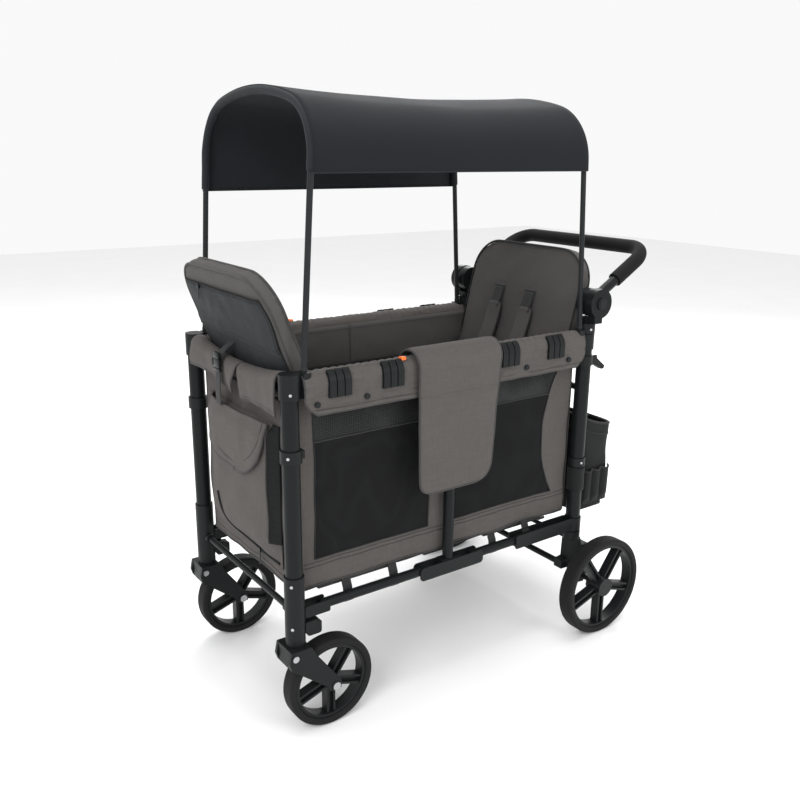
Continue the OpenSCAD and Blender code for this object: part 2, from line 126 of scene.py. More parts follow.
def settle(thing):
    """Applies every modifier and any curve bevel, so the mesh is final."""
    bpy.context.view_layer.update()
    graph = bpy.context.evaluated_depsgraph_get()
    mesh = bpy.data.meshes.new_from_object(thing.evaluated_get(graph))
    name, matrix = thing.name, thing.matrix_world.copy()
    bpy.data.objects.remove(thing)
    solid = bpy.data.objects.new(name, mesh)
    bpy.context.collection.objects.link(solid)
    solid.matrix_world = matrix
    mesh.shade_smooth()
    return solid


def mesh_object(name, verts, faces, *materials):
    mesh = bpy.data.meshes.new(name)
    mesh.from_pydata([tuple(v) for v in verts], [], faces)
    mesh.update()
    mesh.shade_smooth()
    return new_object(name, mesh, *materials)


def subdivide(thing, levels=1):
    smooth = thing.modifiers.new("smooth", "SUBSURF")
    smooth.levels = smooth.render_levels = levels


def thicken(thing, thickness, rounds=0, crease=0.0):
    """Gives a sheet a thickness, then rounds it with subdivision."""
    solid = thing.modifiers.new("solid", "SOLIDIFY")
    solid.thickness = thickness
    solid.offset = 0
    solid.edge_crease_rim = crease
    if rounds:
        subdivide(thing, rounds)
    return settle(thing)


def sheet_grid(name, across, along, place, *materials, pick=None, closed=False):
    """Grid of across by along cells; place(u, v) gives each point, u and v from 0 to 1.
    pick(u, v) gives a cell's material number. closed joins the last column to the first."""
    columns = across if closed else across + 1
    verts = [place(i / across, j / along) for j in range(along + 1) for i in range(columns)]
    faces = []
    for j in range(along):
        for i in range(across):
            a, b = j * columns + i, j * columns + (i + 1) % columns
            faces.append((a, b, b + columns, a + columns))
    thing = mesh_object(name, verts, faces, *materials)
    if pick:
        for k, face in enumerate(thing.data.polygons):
            i, j = k % across, k // across
            face.material_index = pick((i + 0.5) / across, (j + 0.5) / along)
    return thing


def tube(name, points, radius, finish, closed=False, sides=3):
    """Round cord or piping through the points."""
    data = bpy.data.curves.new(name, "CURVE")
    data.dimensions = "3D"
    data.resolution_u = 6
    data.bevel_depth = radius
    data.bevel_resolution = sides
    data.use_fill_caps = True
    line = data.splines.new("POLY" if len(points) == 2 else "NURBS")
    line.points.add(len(points) - 1)
    for spot, p in zip(line.points, points):
        spot.co = (*p, 1.0)
    if line.type == "NURBS":
        line.order_u = 3
        line.use_endpoint_u = True
    line.use_cyclic_u = closed
    return settle(new_object(name, data, finish))


def ribbon(name, points, across, width, thickness, finish):
    """Flat webbing through the points; across is the direction of its width."""
    across = Vector(across).normalized() * width / 2
    verts = [Vector(p) + across * s for p in points for s in (-1, -0.5, 0, 0.5, 1)]
    faces = [(5 * j + i, 5 * j + i + 1, 5 * j + i + 6, 5 * j + i + 5)
             for j in range(len(points) - 1) for i in range(4)]
    return thicken(mesh_object(name, verts, faces, finish), thickness, rounds=1, crease=0.8)


def from_shell(name, shell, *materials):
    """Object from a bmesh, which is freed."""
    mesh = bpy.data.meshes.new(name)
    shell.to_mesh(mesh)
    shell.free()
    mesh.shade_smooth()
    return new_object(name, mesh, *materials)


def rounded_box(name, low, high, radius, finish):
    """Box between two corners with every edge rounded."""
    low, high = Vector(low), Vector(high)
    shell = bmesh.new()
    bmesh.ops.create_cube(shell, size=1.0)
    size = high - low
    for v in shell.verts:
        v.co = Vector((v.co.x * size.x, v.co.y * size.y, v.co.z * size.z)) + (low + high) / 2
    bmesh.ops.bevel(shell, geom=list(shell.edges), offset=radius, segments=3,
                    profile=0.5, affect="EDGES")
    return from_shell(name, shell, finish)


def joined(name, things):
    """One object from several that have the same finish or share their slots."""
    bpy.context.view_layer.update()
    shell = bmesh.new()
    slots = []
    for thing in things:
        mesh = thing.data.copy()
        mesh.transform(thing.matrix_world)
        order = []
        for finish in thing.data.materials:
            if finish not in slots:
                slots.append(finish)
            order.append(slots.index(finish))
        for face in mesh.polygons:
            face.material_index = order[face.material_index]
        shell.from_mesh(mesh)
        bpy.data.objects.remove(thing)
    return from_shell(name, shell, *slots)


def smoothstep(low, high, value):
    t = min(max((value - low) / (high - low), 0.0), 1.0)
    return t * t * (3 - 2 * t)


def lerp(a, b, t):
    return a + (b - a) * t


def crumple(point, size, amount, seed=0.0):
    """Soft fold height at a point: noise of the given size in metres."""
    return noise.noise(Vector(point) / size + Vector((seed, 0, 0))) * amount


def ruffle(thing, size, amount, seed):
    """Moves every point along its normal by a crumple."""
    verts = thing.data.vertices
    ripples = [v.normal * crumple(v.co, size, amount, seed=seed) for v in verts]
    for v, ripple in zip(verts, ripples):
        v.co += ripple


def shares(count):
    """Evenly spaced values from 0 to 1, count steps apart."""
    return [k / count for k in range(count + 1)]


# ---------------------------------------------------------------- materials
class Nodes:
    """Short calls for building one material's nodes."""

    def __init__(self, name):
        self.material = bpy.data.materials.new(name)
        self.material.use_nodes = True
        self.tree = self.material.node_tree
        self.shader = self.tree.nodes["Principled BSDF"]
        self.place = self.add("ShaderNodeTexCoord").outputs["Object"]

    def add(self, kind, **values):
        node = self.tree.nodes.new(kind)
        for key, value in values.items():
            setattr(node, key, value)
        return node

    def link(self, source, target):
        self.tree.links.new(source, target)

    def math(self, operation, a, b=0.0):
        node = self.add("ShaderNodeMath", operation=operation)
        for socket, value in zip(node.inputs, (a, b)):
            if isinstance(value, (int, float)):
                socket.default_value = value
            else:
                self.link(value, socket)
        return node.outputs[0]

    def noise(self, scale, detail=2.0, stretch=(1, 1, 1)):
        mapping = self.add("ShaderNodeMapping")
        mapping.inputs["Scale"].default_value = stretch
        self.link(self.place, mapping.inputs["Vector"])
        node = self.add("ShaderNodeTexNoise")
        node.inputs["Scale"].default_value = scale
        node.inputs["Detail"].default_value = detail
        self.link(mapping.outputs[0], node.inputs["Vector"])
        return node.outputs["Fac"]

    def threads(self, pitch):
        """Plain weave height from 0 to 1: upright threads over level ones, on any wall."""
        parts = self.add("ShaderNodeSeparateXYZ")
        self.link(self.place, parts.inputs[0])
        turn = 2 * math.pi / pitch
        level = self.math("SINE", self.math("MULTIPLY", parts.outputs["Z"], turn))
        around = self.math("ADD", parts.outputs["X"], parts.outputs["Y"])
        upright = self.math("SINE", self.math("MULTIPLY", around, turn))
        return self.math("ADD", self.math("MULTIPLY", self.math("MULTIPLY", level, upright), 0.5), 0.5)

    def ramp(self, value, stops):
        node = self.add("ShaderNodeValToRGB")
        for k, (where, colour) in enumerate(stops):
            stop = node.color_ramp.elements[k] if k < 2 else node.color_ramp.elements.new(where)
            stop.position = where
            stop.color = (*colour, 1)
        self.link(value, node.inputs[0])
        return node.outputs[0]

    def mix(self, fac, a, b, kind="MIX"):
        node = self.add("ShaderNodeMix", data_type="RGBA", blend_type=kind)
        for socket, value in ((node.inputs[0], fac), (node.inputs[6], a), (node.inputs[7], b)):
            if isinstance(value, (int, float)):
                socket.default_value = value
            elif isinstance(value, tuple):
                socket.default_value = (*value, 1)
            else:
                self.link(value, socket)
        return node.outputs[2]

    def bump(self, height, strength, distance=0.001):
        node = self.add("ShaderNodeBump")
        node.inputs["Strength"].default_value = strength
        node.inputs["Distance"].default_value = distance
        self.link(height, node.inputs["Height"])
        self.link(node.outputs[0], self.shader.inputs["Normal"])

    def done(self, colour, rough, metallic=0.0, specular=0.5, sheen=0.0, coat=0.0):
        for name, value in (("Base Color", colour), ("Roughness", rough)):
            if isinstance(value, (int, float)):
                self.shader.inputs[name].default_value = value
            elif isinstance(value, tuple):
                self.shader.inputs[name].default_value = (*value, 1)
            else:
                self.link(value, self.shader.inputs[name])
        self.shader.inputs["Metallic"].default_value = metallic
        self.shader.inputs["Specular IOR Level"].default_value = specular
        self.shader.inputs["Sheen Weight"].default_value = sheen
        self.shader.inputs["Sheen Roughness"].default_value = 0.6
        self.shader.inputs["Coat Weight"].default_value = coat
        return self.material


def shade(colour, factor):
    return tuple(c * factor for c in colour)


def heather(name, colour, contrast=0.30, pitch=0.0016, crease=0.5):
    """Melange woven cloth: light and dark yarn streaks both ways over a plain weave."""
    n = Nodes(name)
    level = n.noise(120, 3, stretch=(0.3, 0.3, 3.2))
    upright = n.noise(120, 3, stretch=(2.6, 2.6, 0.3))
    yarn = n.math("MULTIPLY", n.math("ADD", level, upright), 0.5)
    dark, light = shade(colour, 1 - contrast), shade(colour, 1 + contrast)
    base = n.ramp(yarn, [(0.36, dark), (0.64, light), (0.5, colour)])
    weave = n.threads(pitch)
    cloth = n.mix(n.math("MULTIPLY", weave, 0.35), shade(colour, 0.7), base)
    faded = n.mix(n.noise(7, 2), shade(colour, 0.93), shade(colour, 1.1))
    blended = n.mix(0.3, cloth, faded)
    wrinkle = n.noise(16, 3)
    height = n.math("ADD", weave, n.math("MULTIPLY", wrinkle, 16 * crease))
    n.bump(height, 0.5, 0.0008)
    return n.done(blended, 0.86, specular=0.15, sheen=0.05)


def plain_cloth(name, colour, pitch=0.0014, rough=0.8, sheen=0.1, crease=0.4):
    """Dyed woven polyester with a fine weave."""
    n = Nodes(name)
    weave = n.threads(pitch)
    base = n.mix(weave, shade(colour, 0.8), shade(colour, 1.15))
    tone = n.mix(n.noise(9, 3), shade(colour, 0.85), shade(colour, 1.15))
    height = n.math("ADD", weave, n.math("MULTIPLY", n.noise(14, 3), 8 * crease))
    n.bump(height, 0.35, 0.0008)
    return n.done(n.mix(0.4, base, tone), rough, specular=0.15, sheen=sheen)


def net(name, colour, hole, pitch):
    """Open mesh: a thread colour with small round holes that show darker."""
    n = Nodes(name)
    dots = n.add("ShaderNodeTexVoronoi", feature="F1")
    dots.inputs["Scale"].default_value = 1 / pitch
    dots.inputs["Randomness"].default_value = 0.15
    n.link(n.place, dots.inputs["Vector"])
    rim = n.math("SMOOTH_MIN", dots.outputs["Distance"], 0.6)
    base = n.ramp(rim, [(0.25, hole), (0.55, colour)])
    n.bump(n.math("ADD", rim, n.math("MULTIPLY", n.noise(8, 2), 4)), 0.4, 0.0007)
    return n.done(base, 0.8, specular=0.12, sheen=0.02)


def webbing(name, colour):
    """Flat strap: ribs across and a herringbone grain."""
    n = Nodes(name)
    ribs = n.threads(0.0022)
    base = n.mix(ribs, shade(colour, 0.6), shade(colour, 1.4))
    n.bump(ribs, 0.6, 0.0006)
    return n.done(base, 0.7, specular=0.3, sheen=0.05)


def moulded(name, colour, rough=0.5, grain=0.25, specular=0.16):
    """Moulded plastic with a fine spark grain and faint wear."""
    n = Nodes(name)
    base = n.mix(n.noise(12, 4), shade(colour, 0.85), shade(colour, 1.2))
    n.bump(n.noise(1500, 2), grain, 0.0003)
    gloss = n.math("ADD", n.math("MULTIPLY", n.noise(40, 4), 0.16), rough - 0.08)
    return n.done(base, gloss, specular=specular)


def powder(name, colour, rough=0.38, metallic=0.0, coat=0.03):
    """Powder-coated or anodised tube with orange-peel gloss."""
    n = Nodes(name)
    base = n.mix(n.noise(5, 3), shade(colour, 0.9), shade(colour, 1.15))
    n.bump(n.noise(650, 2), 0.15, 0.0004)
    gloss = n.math("ADD", n.math("MULTIPLY", n.noise(60, 3), 0.14), rough - 0.07)
    return n.done(base, gloss, metallic=metallic, specular=0.12, coat=coat)


def rubber(name, colour, rough=0.72):
    """Tyre or foam: fine pores with a dusty tone."""
    n = Nodes(name)
    dust = n.mix(n.noise(18, 5), shade(colour, 0.8), shade(colour, 1.5))
    n.bump(n.math("ADD", n.noise(900, 2), n.noise(160, 2)), 0.35, 0.0005)
    return n.done(dust, rough, specular=0.2)


GREY = heather("grey_heather", (0.095, 0.086, 0.081), contrast=0.6)
SEAT_GREY = heather("seat_heather", (0.082, 0.078, 0.076), contrast=0.32, crease=0.3)
LINING = plain_cloth("lining", (0.034, 0.033, 0.033))
BLACK_CLOTH = plain_cloth("black_cloth", (0.0075, 0.0080, 0.0085), rough=0.7, sheen=0.03)
NAVY_CLOTH = plain_cloth("back_pocket_cloth", (0.0095, 0.0115, 0.014), rough=0.65, sheen=0.03)
CANOPY_OUT = plain_cloth("canopy_cloth", (0.0105, 0.0122, 0.015), pitch=0.0011, rough=0.62,
                         sheen=0.04, crease=0.15)
CANOPY_IN = plain_cloth("canopy_lining", (0.008, 0.009, 0.011), rough=0.8, sheen=0.02)
NET_BLACK = net("black_net", (0.0065, 0.007, 0.0075), (0.003, 0.003, 0.0035), 0.0022)
NET_GREY = net("grey_net", (0.030, 0.031, 0.031), (0.007, 0.0075, 0.0075), 0.0042)
PIPING = plain_cloth("piping", (0.042, 0.040, 0.039), pitch=0.001)
DARK_PIPING = plain_cloth("dark_piping", (0.014, 0.014, 0.015), pitch=0.001)
STITCH = plain_cloth("stitching", (0.026, 0.025, 0.0245), pitch=0.0008)
STRAP = webbing("webbing", (0.013, 0.0135, 0.0145))
PLASTIC = moulded("black_plastic", (0.0075, 0.0085, 0.009), rough=0.42)
GLOSS_PLASTIC = moulded("gloss_plastic", (0.008, 0.010, 0.0105), rough=0.24, grain=0.08)
RIM_PLASTIC = moulded("rim_plastic", (0.010, 0.0108, 0.0115), rough=0.40)
FRAME_PAINT = powder("frame_paint", (0.0065, 0.0078, 0.0083))
HOOP_PAINT = powder("hoop_paint", (0.016, 0.017, 0.018), rough=0.34)
STEEL = powder("bolt_steel", (0.42, 0.43, 0.44), rough=0.3, metallic=1.0, coat=0.0)
TYRE = rubber("tyre_rubber", (0.0065, 0.0065, 0.007))
FOAM = rubber("grip_foam", (0.0045, 0.0045, 0.005), rough=0.8)
BOARD = moulded("floor_board", (0.045, 0.044, 0.043), rough=0.7)
ORANGE = moulded("orange_tab", (0.75, 0.16, 0.03), rough=0.45)

FINISHES = {
    "frame_metal": FRAME_PAINT, "black_plastic": PLASTIC, "rim_plastic": RIM_PLASTIC,
    "tyre": TYRE, "steel": STEEL, "grey_fabric": GREY, "seat_fabric": SEAT_GREY,
    "black_fabric": BLACK_CLOTH, "canopy_cloth": CANOPY_OUT, "foam_grip": FOAM,
    "hoop_metal": HOOP_PAINT, "floor_board": BOARD,
}
for part in frame["record"]["subparts"]:
    node = NODES[part["node"]]
    for k in range(len(node.data.materials)):
        node.data.materials[k] = FINISHES[part["material_slot"]]


def soft(piece, body, slot, *nodes):
    """Rides on a body and stands for its CAD nodes; slot is not used."""
    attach(piece, body)
    if nodes:
        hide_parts(*nodes)
    return piece


# ---------------------------------------------------------------- stage and light
floor = sheet_grid("floor", 1, 1, lambda u, v: (lerp(-9, 9, u), lerp(-9, 9, v), 0))
floor_look = Nodes("floor_paper")
floor.data.materials.append(
    floor_look.done(floor_look.mix(floor_look.noise(3, 2), (0.86, 0.86, 0.86), (0.9, 0.9, 0.9)), 0.9,
                    specular=0.1))


def softbox(name, place, target, size, power):
    data = bpy.data.lights.new(name, "AREA")
    data.shape = "DISK"
    data.size = size
    data.energy = power
    lamp = bpy.data.objects.new(name, data)
    lamp.location = place
    lamp.rotation_euler = (Vector(target) - Vector(place)).to_track_quat("-Z", "Y").to_euler()
    bpy.context.collection.objects.link(lamp)


MIDDLE = (0, 0, 0.6)
softbox("key", (2.2, -3.4, 3.2), MIDDLE, 2.4, 95)
softbox("side", (3.8, 0.9, 2.2), MIDDLE, 2.2, 45)
softbox("top", (-0.4, 0.2, 4.2), MIDDLE, 3.0, 110)
softbox("back", (-2.6, 2.8, 2.6), MIDDLE, 2.2, 60)
world = bpy.data.worlds.new("studio")
world.use_nodes = True
world.node_tree.nodes["Background"].inputs[0].default_value = (1, 1, 1, 1)
world.node_tree.nodes["Background"].inputs[1].default_value = 0.95
bpy.context.scene.world = world
bpy.context.scene.view_settings.view_transform = "Standard"


# ---------------------------------------------------------------- canopy
ROOF_HIGH = corners("canopy_fabric")[1]
SHEET = 3 * MM
CORNER_R = 119.5 * MM
CORNER_TURN = math.radians(75)
HALF_ROOF = ROOF_HIGH.x - SHEET / 2
CORNER_X = HALF_ROOF - CORNER_R
TOP_R = CORNER_X / math.cos(CORNER_TURN) + CORNER_R
CORNER_Z = ROOF_HIGH.z - SHEET / 2 - TOP_R + (TOP_R - CORNER_R) * math.sin(CORNER_TURN)
NEAR_HEM, FAR_HEM = 1.158, 1.106
HOOP_LEAN = math.tan(math.radians(3.5))
HOOP_FOOT = Vector((0, 375 * MM, 795 * MM))
SLEEVE_R = 8.6 * MM


def arch_point(s, shrink=0.0):
    """Point (x, z) on the canopy arch; s runs from 0 at the right hem to 1 at the left."""
    corner, top = CORNER_R - shrink, TOP_R - shrink
    near, far = CORNER_Z - NEAR_HEM, CORNER_Z - FAR_HEM
    bend, crown = corner * CORNER_TURN, top * (math.pi - 2 * CORNER_TURN)
    at = s * (near + 2 * bend + crown + far)
    if at < near:
        return HALF_ROOF - shrink, NEAR_HEM + at
    at -= near
    if at < bend:
        a = at / corner
        return CORNER_X + corner * math.cos(a), CORNER_Z + corner * math.sin(a)
    at -= bend
    if at < crown:
        a = CORNER_TURN + at / top
        low = CORNER_Z + (corner - top) * math.sin(CORNER_TURN)
        return top * math.cos(a), low + top * math.sin(a)
    at -= crown
    if at < bend:
        a = math.pi - CORNER_TURN + at / corner
        return -CORNER_X + corner * math.cos(a), CORNER_Z + corner * math.sin(a)
    return -HALF_ROOF + shrink, CORNER_Z - (at - bend)


def hoop_y(z):
    """Distance of a hoop from the middle at a height."""
    return HOOP_FOOT.y - (z - HOOP_FOOT.z) * HOOP_LEAN


def roof_point(s, t, lift=0.0):
    """Point on the roof; t runs from 0 at the front hoop to 1 at the rear one."""
    x, z = arch_point(s)
    across = 2 * t - 1
    slack = (1 - across * across)
    high = smoothstep(CORNER_Z, ROOF_HIGH.z, z)
    y = across * (hoop_y(z) + 3 * MM)
    ripple = crumple((x * 0.7, y, z), 0.16, 3.5 * MM) * slack
    z -= slack * 13 * MM * high
    x -= math.copysign(slack * lerp(7, 3, high) * MM, x) - ripple * (1 - high)
    out = Vector((x, 0, (z - CORNER_Z) * high)).normalized() * lift
    return Vector((x, y, z + ripple * high)) + out


roof = sheet_grid("canopy_roof", 96, 64, roof_point, CANOPY_OUT, CANOPY_IN)
shell = roof.modifiers.new("solid", "SOLIDIFY")
shell.thickness = 2 * MM
shell.offset = -1
shell.material_offset = 1
roof = settle(roof)
seams = []
for k, s in enumerate((0.012, 0.988)):
    seams.append(tube(f"hem_stitch_{k}", [roof_point(s, t, 0.6 * MM) for t in shares(30)],
                      0.7 * MM, DARK_PIPING, sides=1))
    seams.append(tube(f"hem_roll_{k}", [roof_point(round(s), t) for t in shares(30)],
                      2.2 * MM, CANOPY_OUT, sides=2))
for k, t in enumerate((0.033, 0.967)):
    seams.append(tube(f"sleeve_stitch_{k}", [roof_point(s, t, 0.6 * MM) for s in shares(48)],
                      0.7 * MM, DARK_PIPING, sides=1))
roof = joined("canopy_roof", [roof] + seams)
soft(roof, "front_canopy", "canopy_cloth", "canopy_fabric")
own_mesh(roof)

for s, body in ((-1, "front_canopy"), (1, "rear_canopy")):
    line = []
    for k in range(65):
        x, z = arch_point(lerp(0.004, 0.996, k / 64), shrink=8 * MM)
        line.append((x, s * hoop_y(z), z))
    sleeve = tube(f"{body}_sleeve", line, SLEEVE_R, CANOPY_OUT, sides=5)
    ruffle(sleeve, 0.03, 0.6 * MM, s)
    soft(sleeve, body, "canopy_cloth")


# ---------------------------------------------------------------- side cloth
CLOTH_TOP = ROLL_Z - 20 * MM
SEAM_Z = 635 * MM
WINDOW_LOW, WINDOW_HIGH = 380 * MM, 702 * MM


def piecewise(t, counts, edges):
    """Position for a share t of all cells, where counts cells lie between successive edges."""
    at = t * sum(counts)
    for count, low, high in zip(counts, edges, edges[1:]):
        if at <= count + 1e-9:
            return lerp(low, high, at / count)
        at -= count
    return edges[-1]


def section(t, counts):
    """Number of the section that a share t of all cells falls in."""
    at = t * sum(counts)
    for k, count in enumerate(counts):
        if at < count:
            return k
        at -= count
    return len(counts) - 1


ACROSS, UPWARD = (6, 26, 6), (7, 22, 8, 4)


def window_sides(end, z):
    """Nearest and furthest y of a window from the middle post, as distances."""
    t = min(max((z - WINDOW_LOW) / (WINDOW_HIGH - WINDOW_LOW), 0), 1)
    if end < 0:
        return lerp(50, 44, t) * MM, (345 - 4 * math.sin(math.pi * t)) * MM
    return lerp(12, 9, t) * MM, (296 + 40 * (abs(2 * t - 0.95)) ** 2.2) * MM


def side_point(side, end, u, v):
    """Point on one half of a side wall; u runs from the middle to the corner post."""
    z = piecewise(v, UPWARD, (CLOTH_LOW, WINDOW_LOW, SEAM_Z, WINDOW_HIGH, CLOTH_TOP))
    near, far = window_sides(end, z)
    y = piecewise(u, ACROSS, (3 * MM, near, far, 383 * MM))
    inside = section(u, ACROSS) == 1 and section(v, UPWARD) in (1, 2)
    span = math.sin(math.pi * min(max((z - CLOTH_LOW) / (CLOTH_TOP - CLOTH_LOW), 0), 1))
    sag = span * math.sin(math.pi * min(y / 0.383, 1)) * 5 * MM
    fold = crumple((0, end * y, z * 0.7), 0.06, 6 * MM, seed=side * 3 + end)
    fold += crumple((0, end * y * 2.2, z * 0.8), 0.05, 3 * MM, seed=side + 7)
    droop = smoothstep(CLOTH_LOW + 60 * MM, CLOTH_LOW, z)
    z += droop * 5 * MM * math.sin(end * y * 33) * 0.5
    x = CLOTH_X - 1.5 * MM - sag + fold * (0.35 if inside else 0.8)
    return Vector((side * x, end * y, z))


def side_cell(u, v):
    if section(u, ACROSS) != 1 or section(v, UPWARD) not in (1, 2):
        return 0
    return 1 if section(v, UPWARD) == 1 else 2


def line_on_side(name, side, end, route, radius, finish):
    """Piping or stitching that follows (u, v) places on a side wall, just outside it."""
    points = [side_point(side, end, u, v) + Vector((side * 2 * MM, 0, 0)) for u, v in route]
    return tube(name, points, radius, finish, sides=2)


U1, U2 = ACROSS[0] / sum(ACROSS), (ACROSS[0] + ACROSS[1]) / sum(ACROSS)
V1, V2 = UPWARD[0] / sum(UPWARD), sum(UPWARD[:2]) / sum(UPWARD)
V3 = sum(UPWARD[:3]) / sum(UPWARD)

for side, side_name in SIDES:
    for end, end_name in ENDS:
        name = f"{end_name}_wall_{side_name}"
        wall = sheet_grid(name, sum(ACROSS), sum(UPWARD),
                          lambda u, v: side_point(side, end, u, v),
                          GREY, NET_BLACK, NET_GREY, LINING, NET_BLACK, NET_BLACK,
                          pick=side_cell)
        if side * end < 0:
            wall.data.flip_normals()
        solid = wall.modifiers.new("solid", "SOLIDIFY")
        solid.thickness = 2.2 * MM
        solid.offset = 0
        solid.material_offset = 3
        subdivide(wall)
        wall = settle(wall)
        steps = shares(24)
        trims = []
        ring = [[(lerp(U1, U2, k), V1) for k in steps], [(U2, lerp(V1, V3, k)) for k in steps],
                [(lerp(U2, U1, k), V3) for k in steps], [(U1, lerp(V3, V1, k)) for k in steps]]
        for k, route in enumerate(ring):
            trims.append(line_on_side(f"{name}_edge_{k}", side, end, route, 1.3 * MM, DARK_PIPING))
        trims.append(line_on_side(f"{name}_seam", side, end,
                                  [(lerp(U1, U2, k), V2) for k in steps], 1.4 * MM, STITCH))
        for k, gap_v in enumerate((0.02, 0.045)):
            trims.append(line_on_side(f"{name}_low_{k}", side, end,
                                      [(k2, V1 - gap_v) for k2 in steps], 0.5 * MM, STITCH))
        trims.append(line_on_side(f"{name}_hem", side, end, [(k, 0.006) for k in steps],
                                  2.0 * MM, PIPING))
        wall = joined(name, [wall] + trims)
        soft(wall, f"{end_name}_frame", "grey_fabric",
             *([f"{end_name}_side_panels"] if side > 0 else []))
        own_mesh(wall)


# ---------------------------------------------------------------- top rolls
COVER_R = ROLL_R + 0.5 * MM
ROUND = 0.62  # Share of a roll's outline that goes round the rail.


def roll_profile(u, y, side, end):
    """Outline (out, up) of a roll and its valance about the rail; u runs from inside to outside."""
    puff = crumple((side, y, u), 0.05, 2.6 * MM, seed=end)
    gather = 1.3 * MM * math.sin(y * 330 + 3 * u) * smoothstep(0.0, 0.3, u)
    gather *= smoothstep(ROUND, 0.4, u)
    radius = COVER_R - 2.0 * MM + puff * 0.6 + gather * 0.5
    if u < ROUND:
        a = lerp(math.radians(235), 0.0, u / ROUND)
        return radius * math.cos(a), radius * math.sin(a) * 1.02 + gather * 0.3
    t = (u - ROUND) / (1 - ROUND)
    low = VALANCE_Z - ROLL_Z
    return radius - 1.2 * MM * math.sin(math.pi * t) + puff * t, lerp(0, low, t)


def cover_point(side, end, u, v):
    """Point on a rail cover; v runs from the middle flap to the corner post."""
    start, stop = (96 if end < 0 else 84) * MM, 381 * MM
    corner = max(0, (u - ROUND) / (1 - ROUND))
    y = lerp(start, stop, v)
    rounded = 26 * MM * max(0, corner - 0.45) ** 2 / 0.3
    y = min(y, stop - rounded)
    out, up = roll_profile(u, end * y, side, end)
    close = smoothstep(0.9, 1.0, v) if u < ROUND else 0
    return Vector((side * (SIDE_X + out * (1 - 0.12 * close)), end * y, ROLL_Z + up * (1 - 0.1 * close)))


for side, side_name in SIDES:
    for end, end_name in ENDS:
        name = f"{end_name}_roll_{side_name}"
        cover = sheet_grid(name, 44, 60, lambda u, v: cover_point(side, end, u, v), GREY)
        if side * end > 0:
            cover.data.flip_normals()
        parts = [thicken(cover, 2.6 * MM)]
        rim = [cover_point(side, end, 1, k) for k in shares(30)]
        rim += [cover_point(side, end, lerp(1, 0.64, k / 10), 1) for k in range(1, 11)]
        parts.append(tube(f"{name}_rim", rim, 1.9 * MM, PIPING))
        seam = [cover_point(side, end, 0.985, k / 30) + Vector((side * 1.6 * MM, 0, 7 * MM))
                for k in range(30)]
        parts.append(tube(f"{name}_stitch", seam, 0.5 * MM, STITCH, sides=1))
        edge = [cover_point(side, end, k / 20, 1) for k in range(14)]
        parts.append(tube(f"{name}_end", edge, 2.2 * MM, PIPING))
        cover = joined(name, parts)
        if side > 0:
            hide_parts(f"{end_name}_rail_covers")
        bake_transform(cover)

# Snaps on the valance, at the places between the clips.
for side, side_name in SIDES:
    for end, end_name, places in ((-1, "front", (0.357, 0.243)), (1, "rear", (0.19, 0.325))):
        for k, y in enumerate(places):
            face = SIDE_X + COVER_R - 0.5 * MM
            disc = tube(f"{end_name}_snap_{side_name}_{k}",
                        [(side * face, end * y, 0.727), (side * (face + 3.4 * MM), end * y, 0.727)],
                        6.2 * MM, GLOSS_PLASTIC)
            soft(disc, f"{end_name}_upper_rails", "black_plastic")

for side, side_name in SIDES:
    def mid_point(u, v):
        y = lerp(MID_LOW.y + 2 * MM, MID_HIGH.y - 2 * MM, v)
        out, up = roll_profile(u * 0.98, y, side, 3)
        return Vector((side * (SIDE_X + out), y, ROLL_Z + up))
    band = sheet_grid(f"mid_roll_{side_name}", 40, 24, mid_point, GREY)
    band = thicken(band, 2.4 * MM)
    soft(band, "mid_frame", "grey_fabric", *(["mid_rail_covers"] if side > 0 else []))


# ---------------------------------------------------------------- inner bands
def band_point(side, end, u, v):
    """Padded band inside the top of a wall; v runs down from the roll."""
    y = lerp(0.5 * MM, 378 * MM, u)
    puff = 7 * MM * math.sin(math.pi * v) ** 0.6 * (0.75 + 0.25 * abs(math.sin(y * 17)))
    dent = crumple((side, end * y, v * 0.1), 0.05, 4 * MM, seed=5)
    x = CLOTH_X - 6 * MM - puff - dent * math.sin(math.pi * v)
    return Vector((side * x, end * y, lerp(ROLL_Z + 6 * MM, 668 * MM, v)))


for side, side_name in SIDES:
    for end, end_name in ENDS:
        name = f"{end_name}_band_{side_name}"
        band = sheet_grid(name, 40, 14, lambda u, v: band_point(side, end, u, v), SEAT_GREY)
        band = thicken(band, 2.5 * MM)
        low = [band_point(side, end, k, 1) + Vector((-side * MM, 0, 0)) for k in shares(24)]
        gathers = [band_point(side, end, k, 0.1) + Vector((-side * 2 * MM, 0, 0)) for k in shares(24)]
        band = joined(name, [band, tube(f"{name}_low", low, 1.8 * MM, DARK_PIPING),
                             tube(f"{name}_top", gathers, 0.6 * MM, STITCH, sides=1)])
        soft(band, f"{end_name}_frame", "seat_fabric")
        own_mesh(band)


# ---------------------------------------------------------------- side flap
FLAP_R = FLAP_HIGH.x - SIDE_X - 3 * MM
FLAP_TAIL = ROLL_Z - FLAP_LOW.z
FLAP_SHORT = 22 * MM
FLAP_TURN = math.pi * FLAP_R
FLAP_LENGTH = FLAP_SHORT + FLAP_TURN + FLAP_TAIL


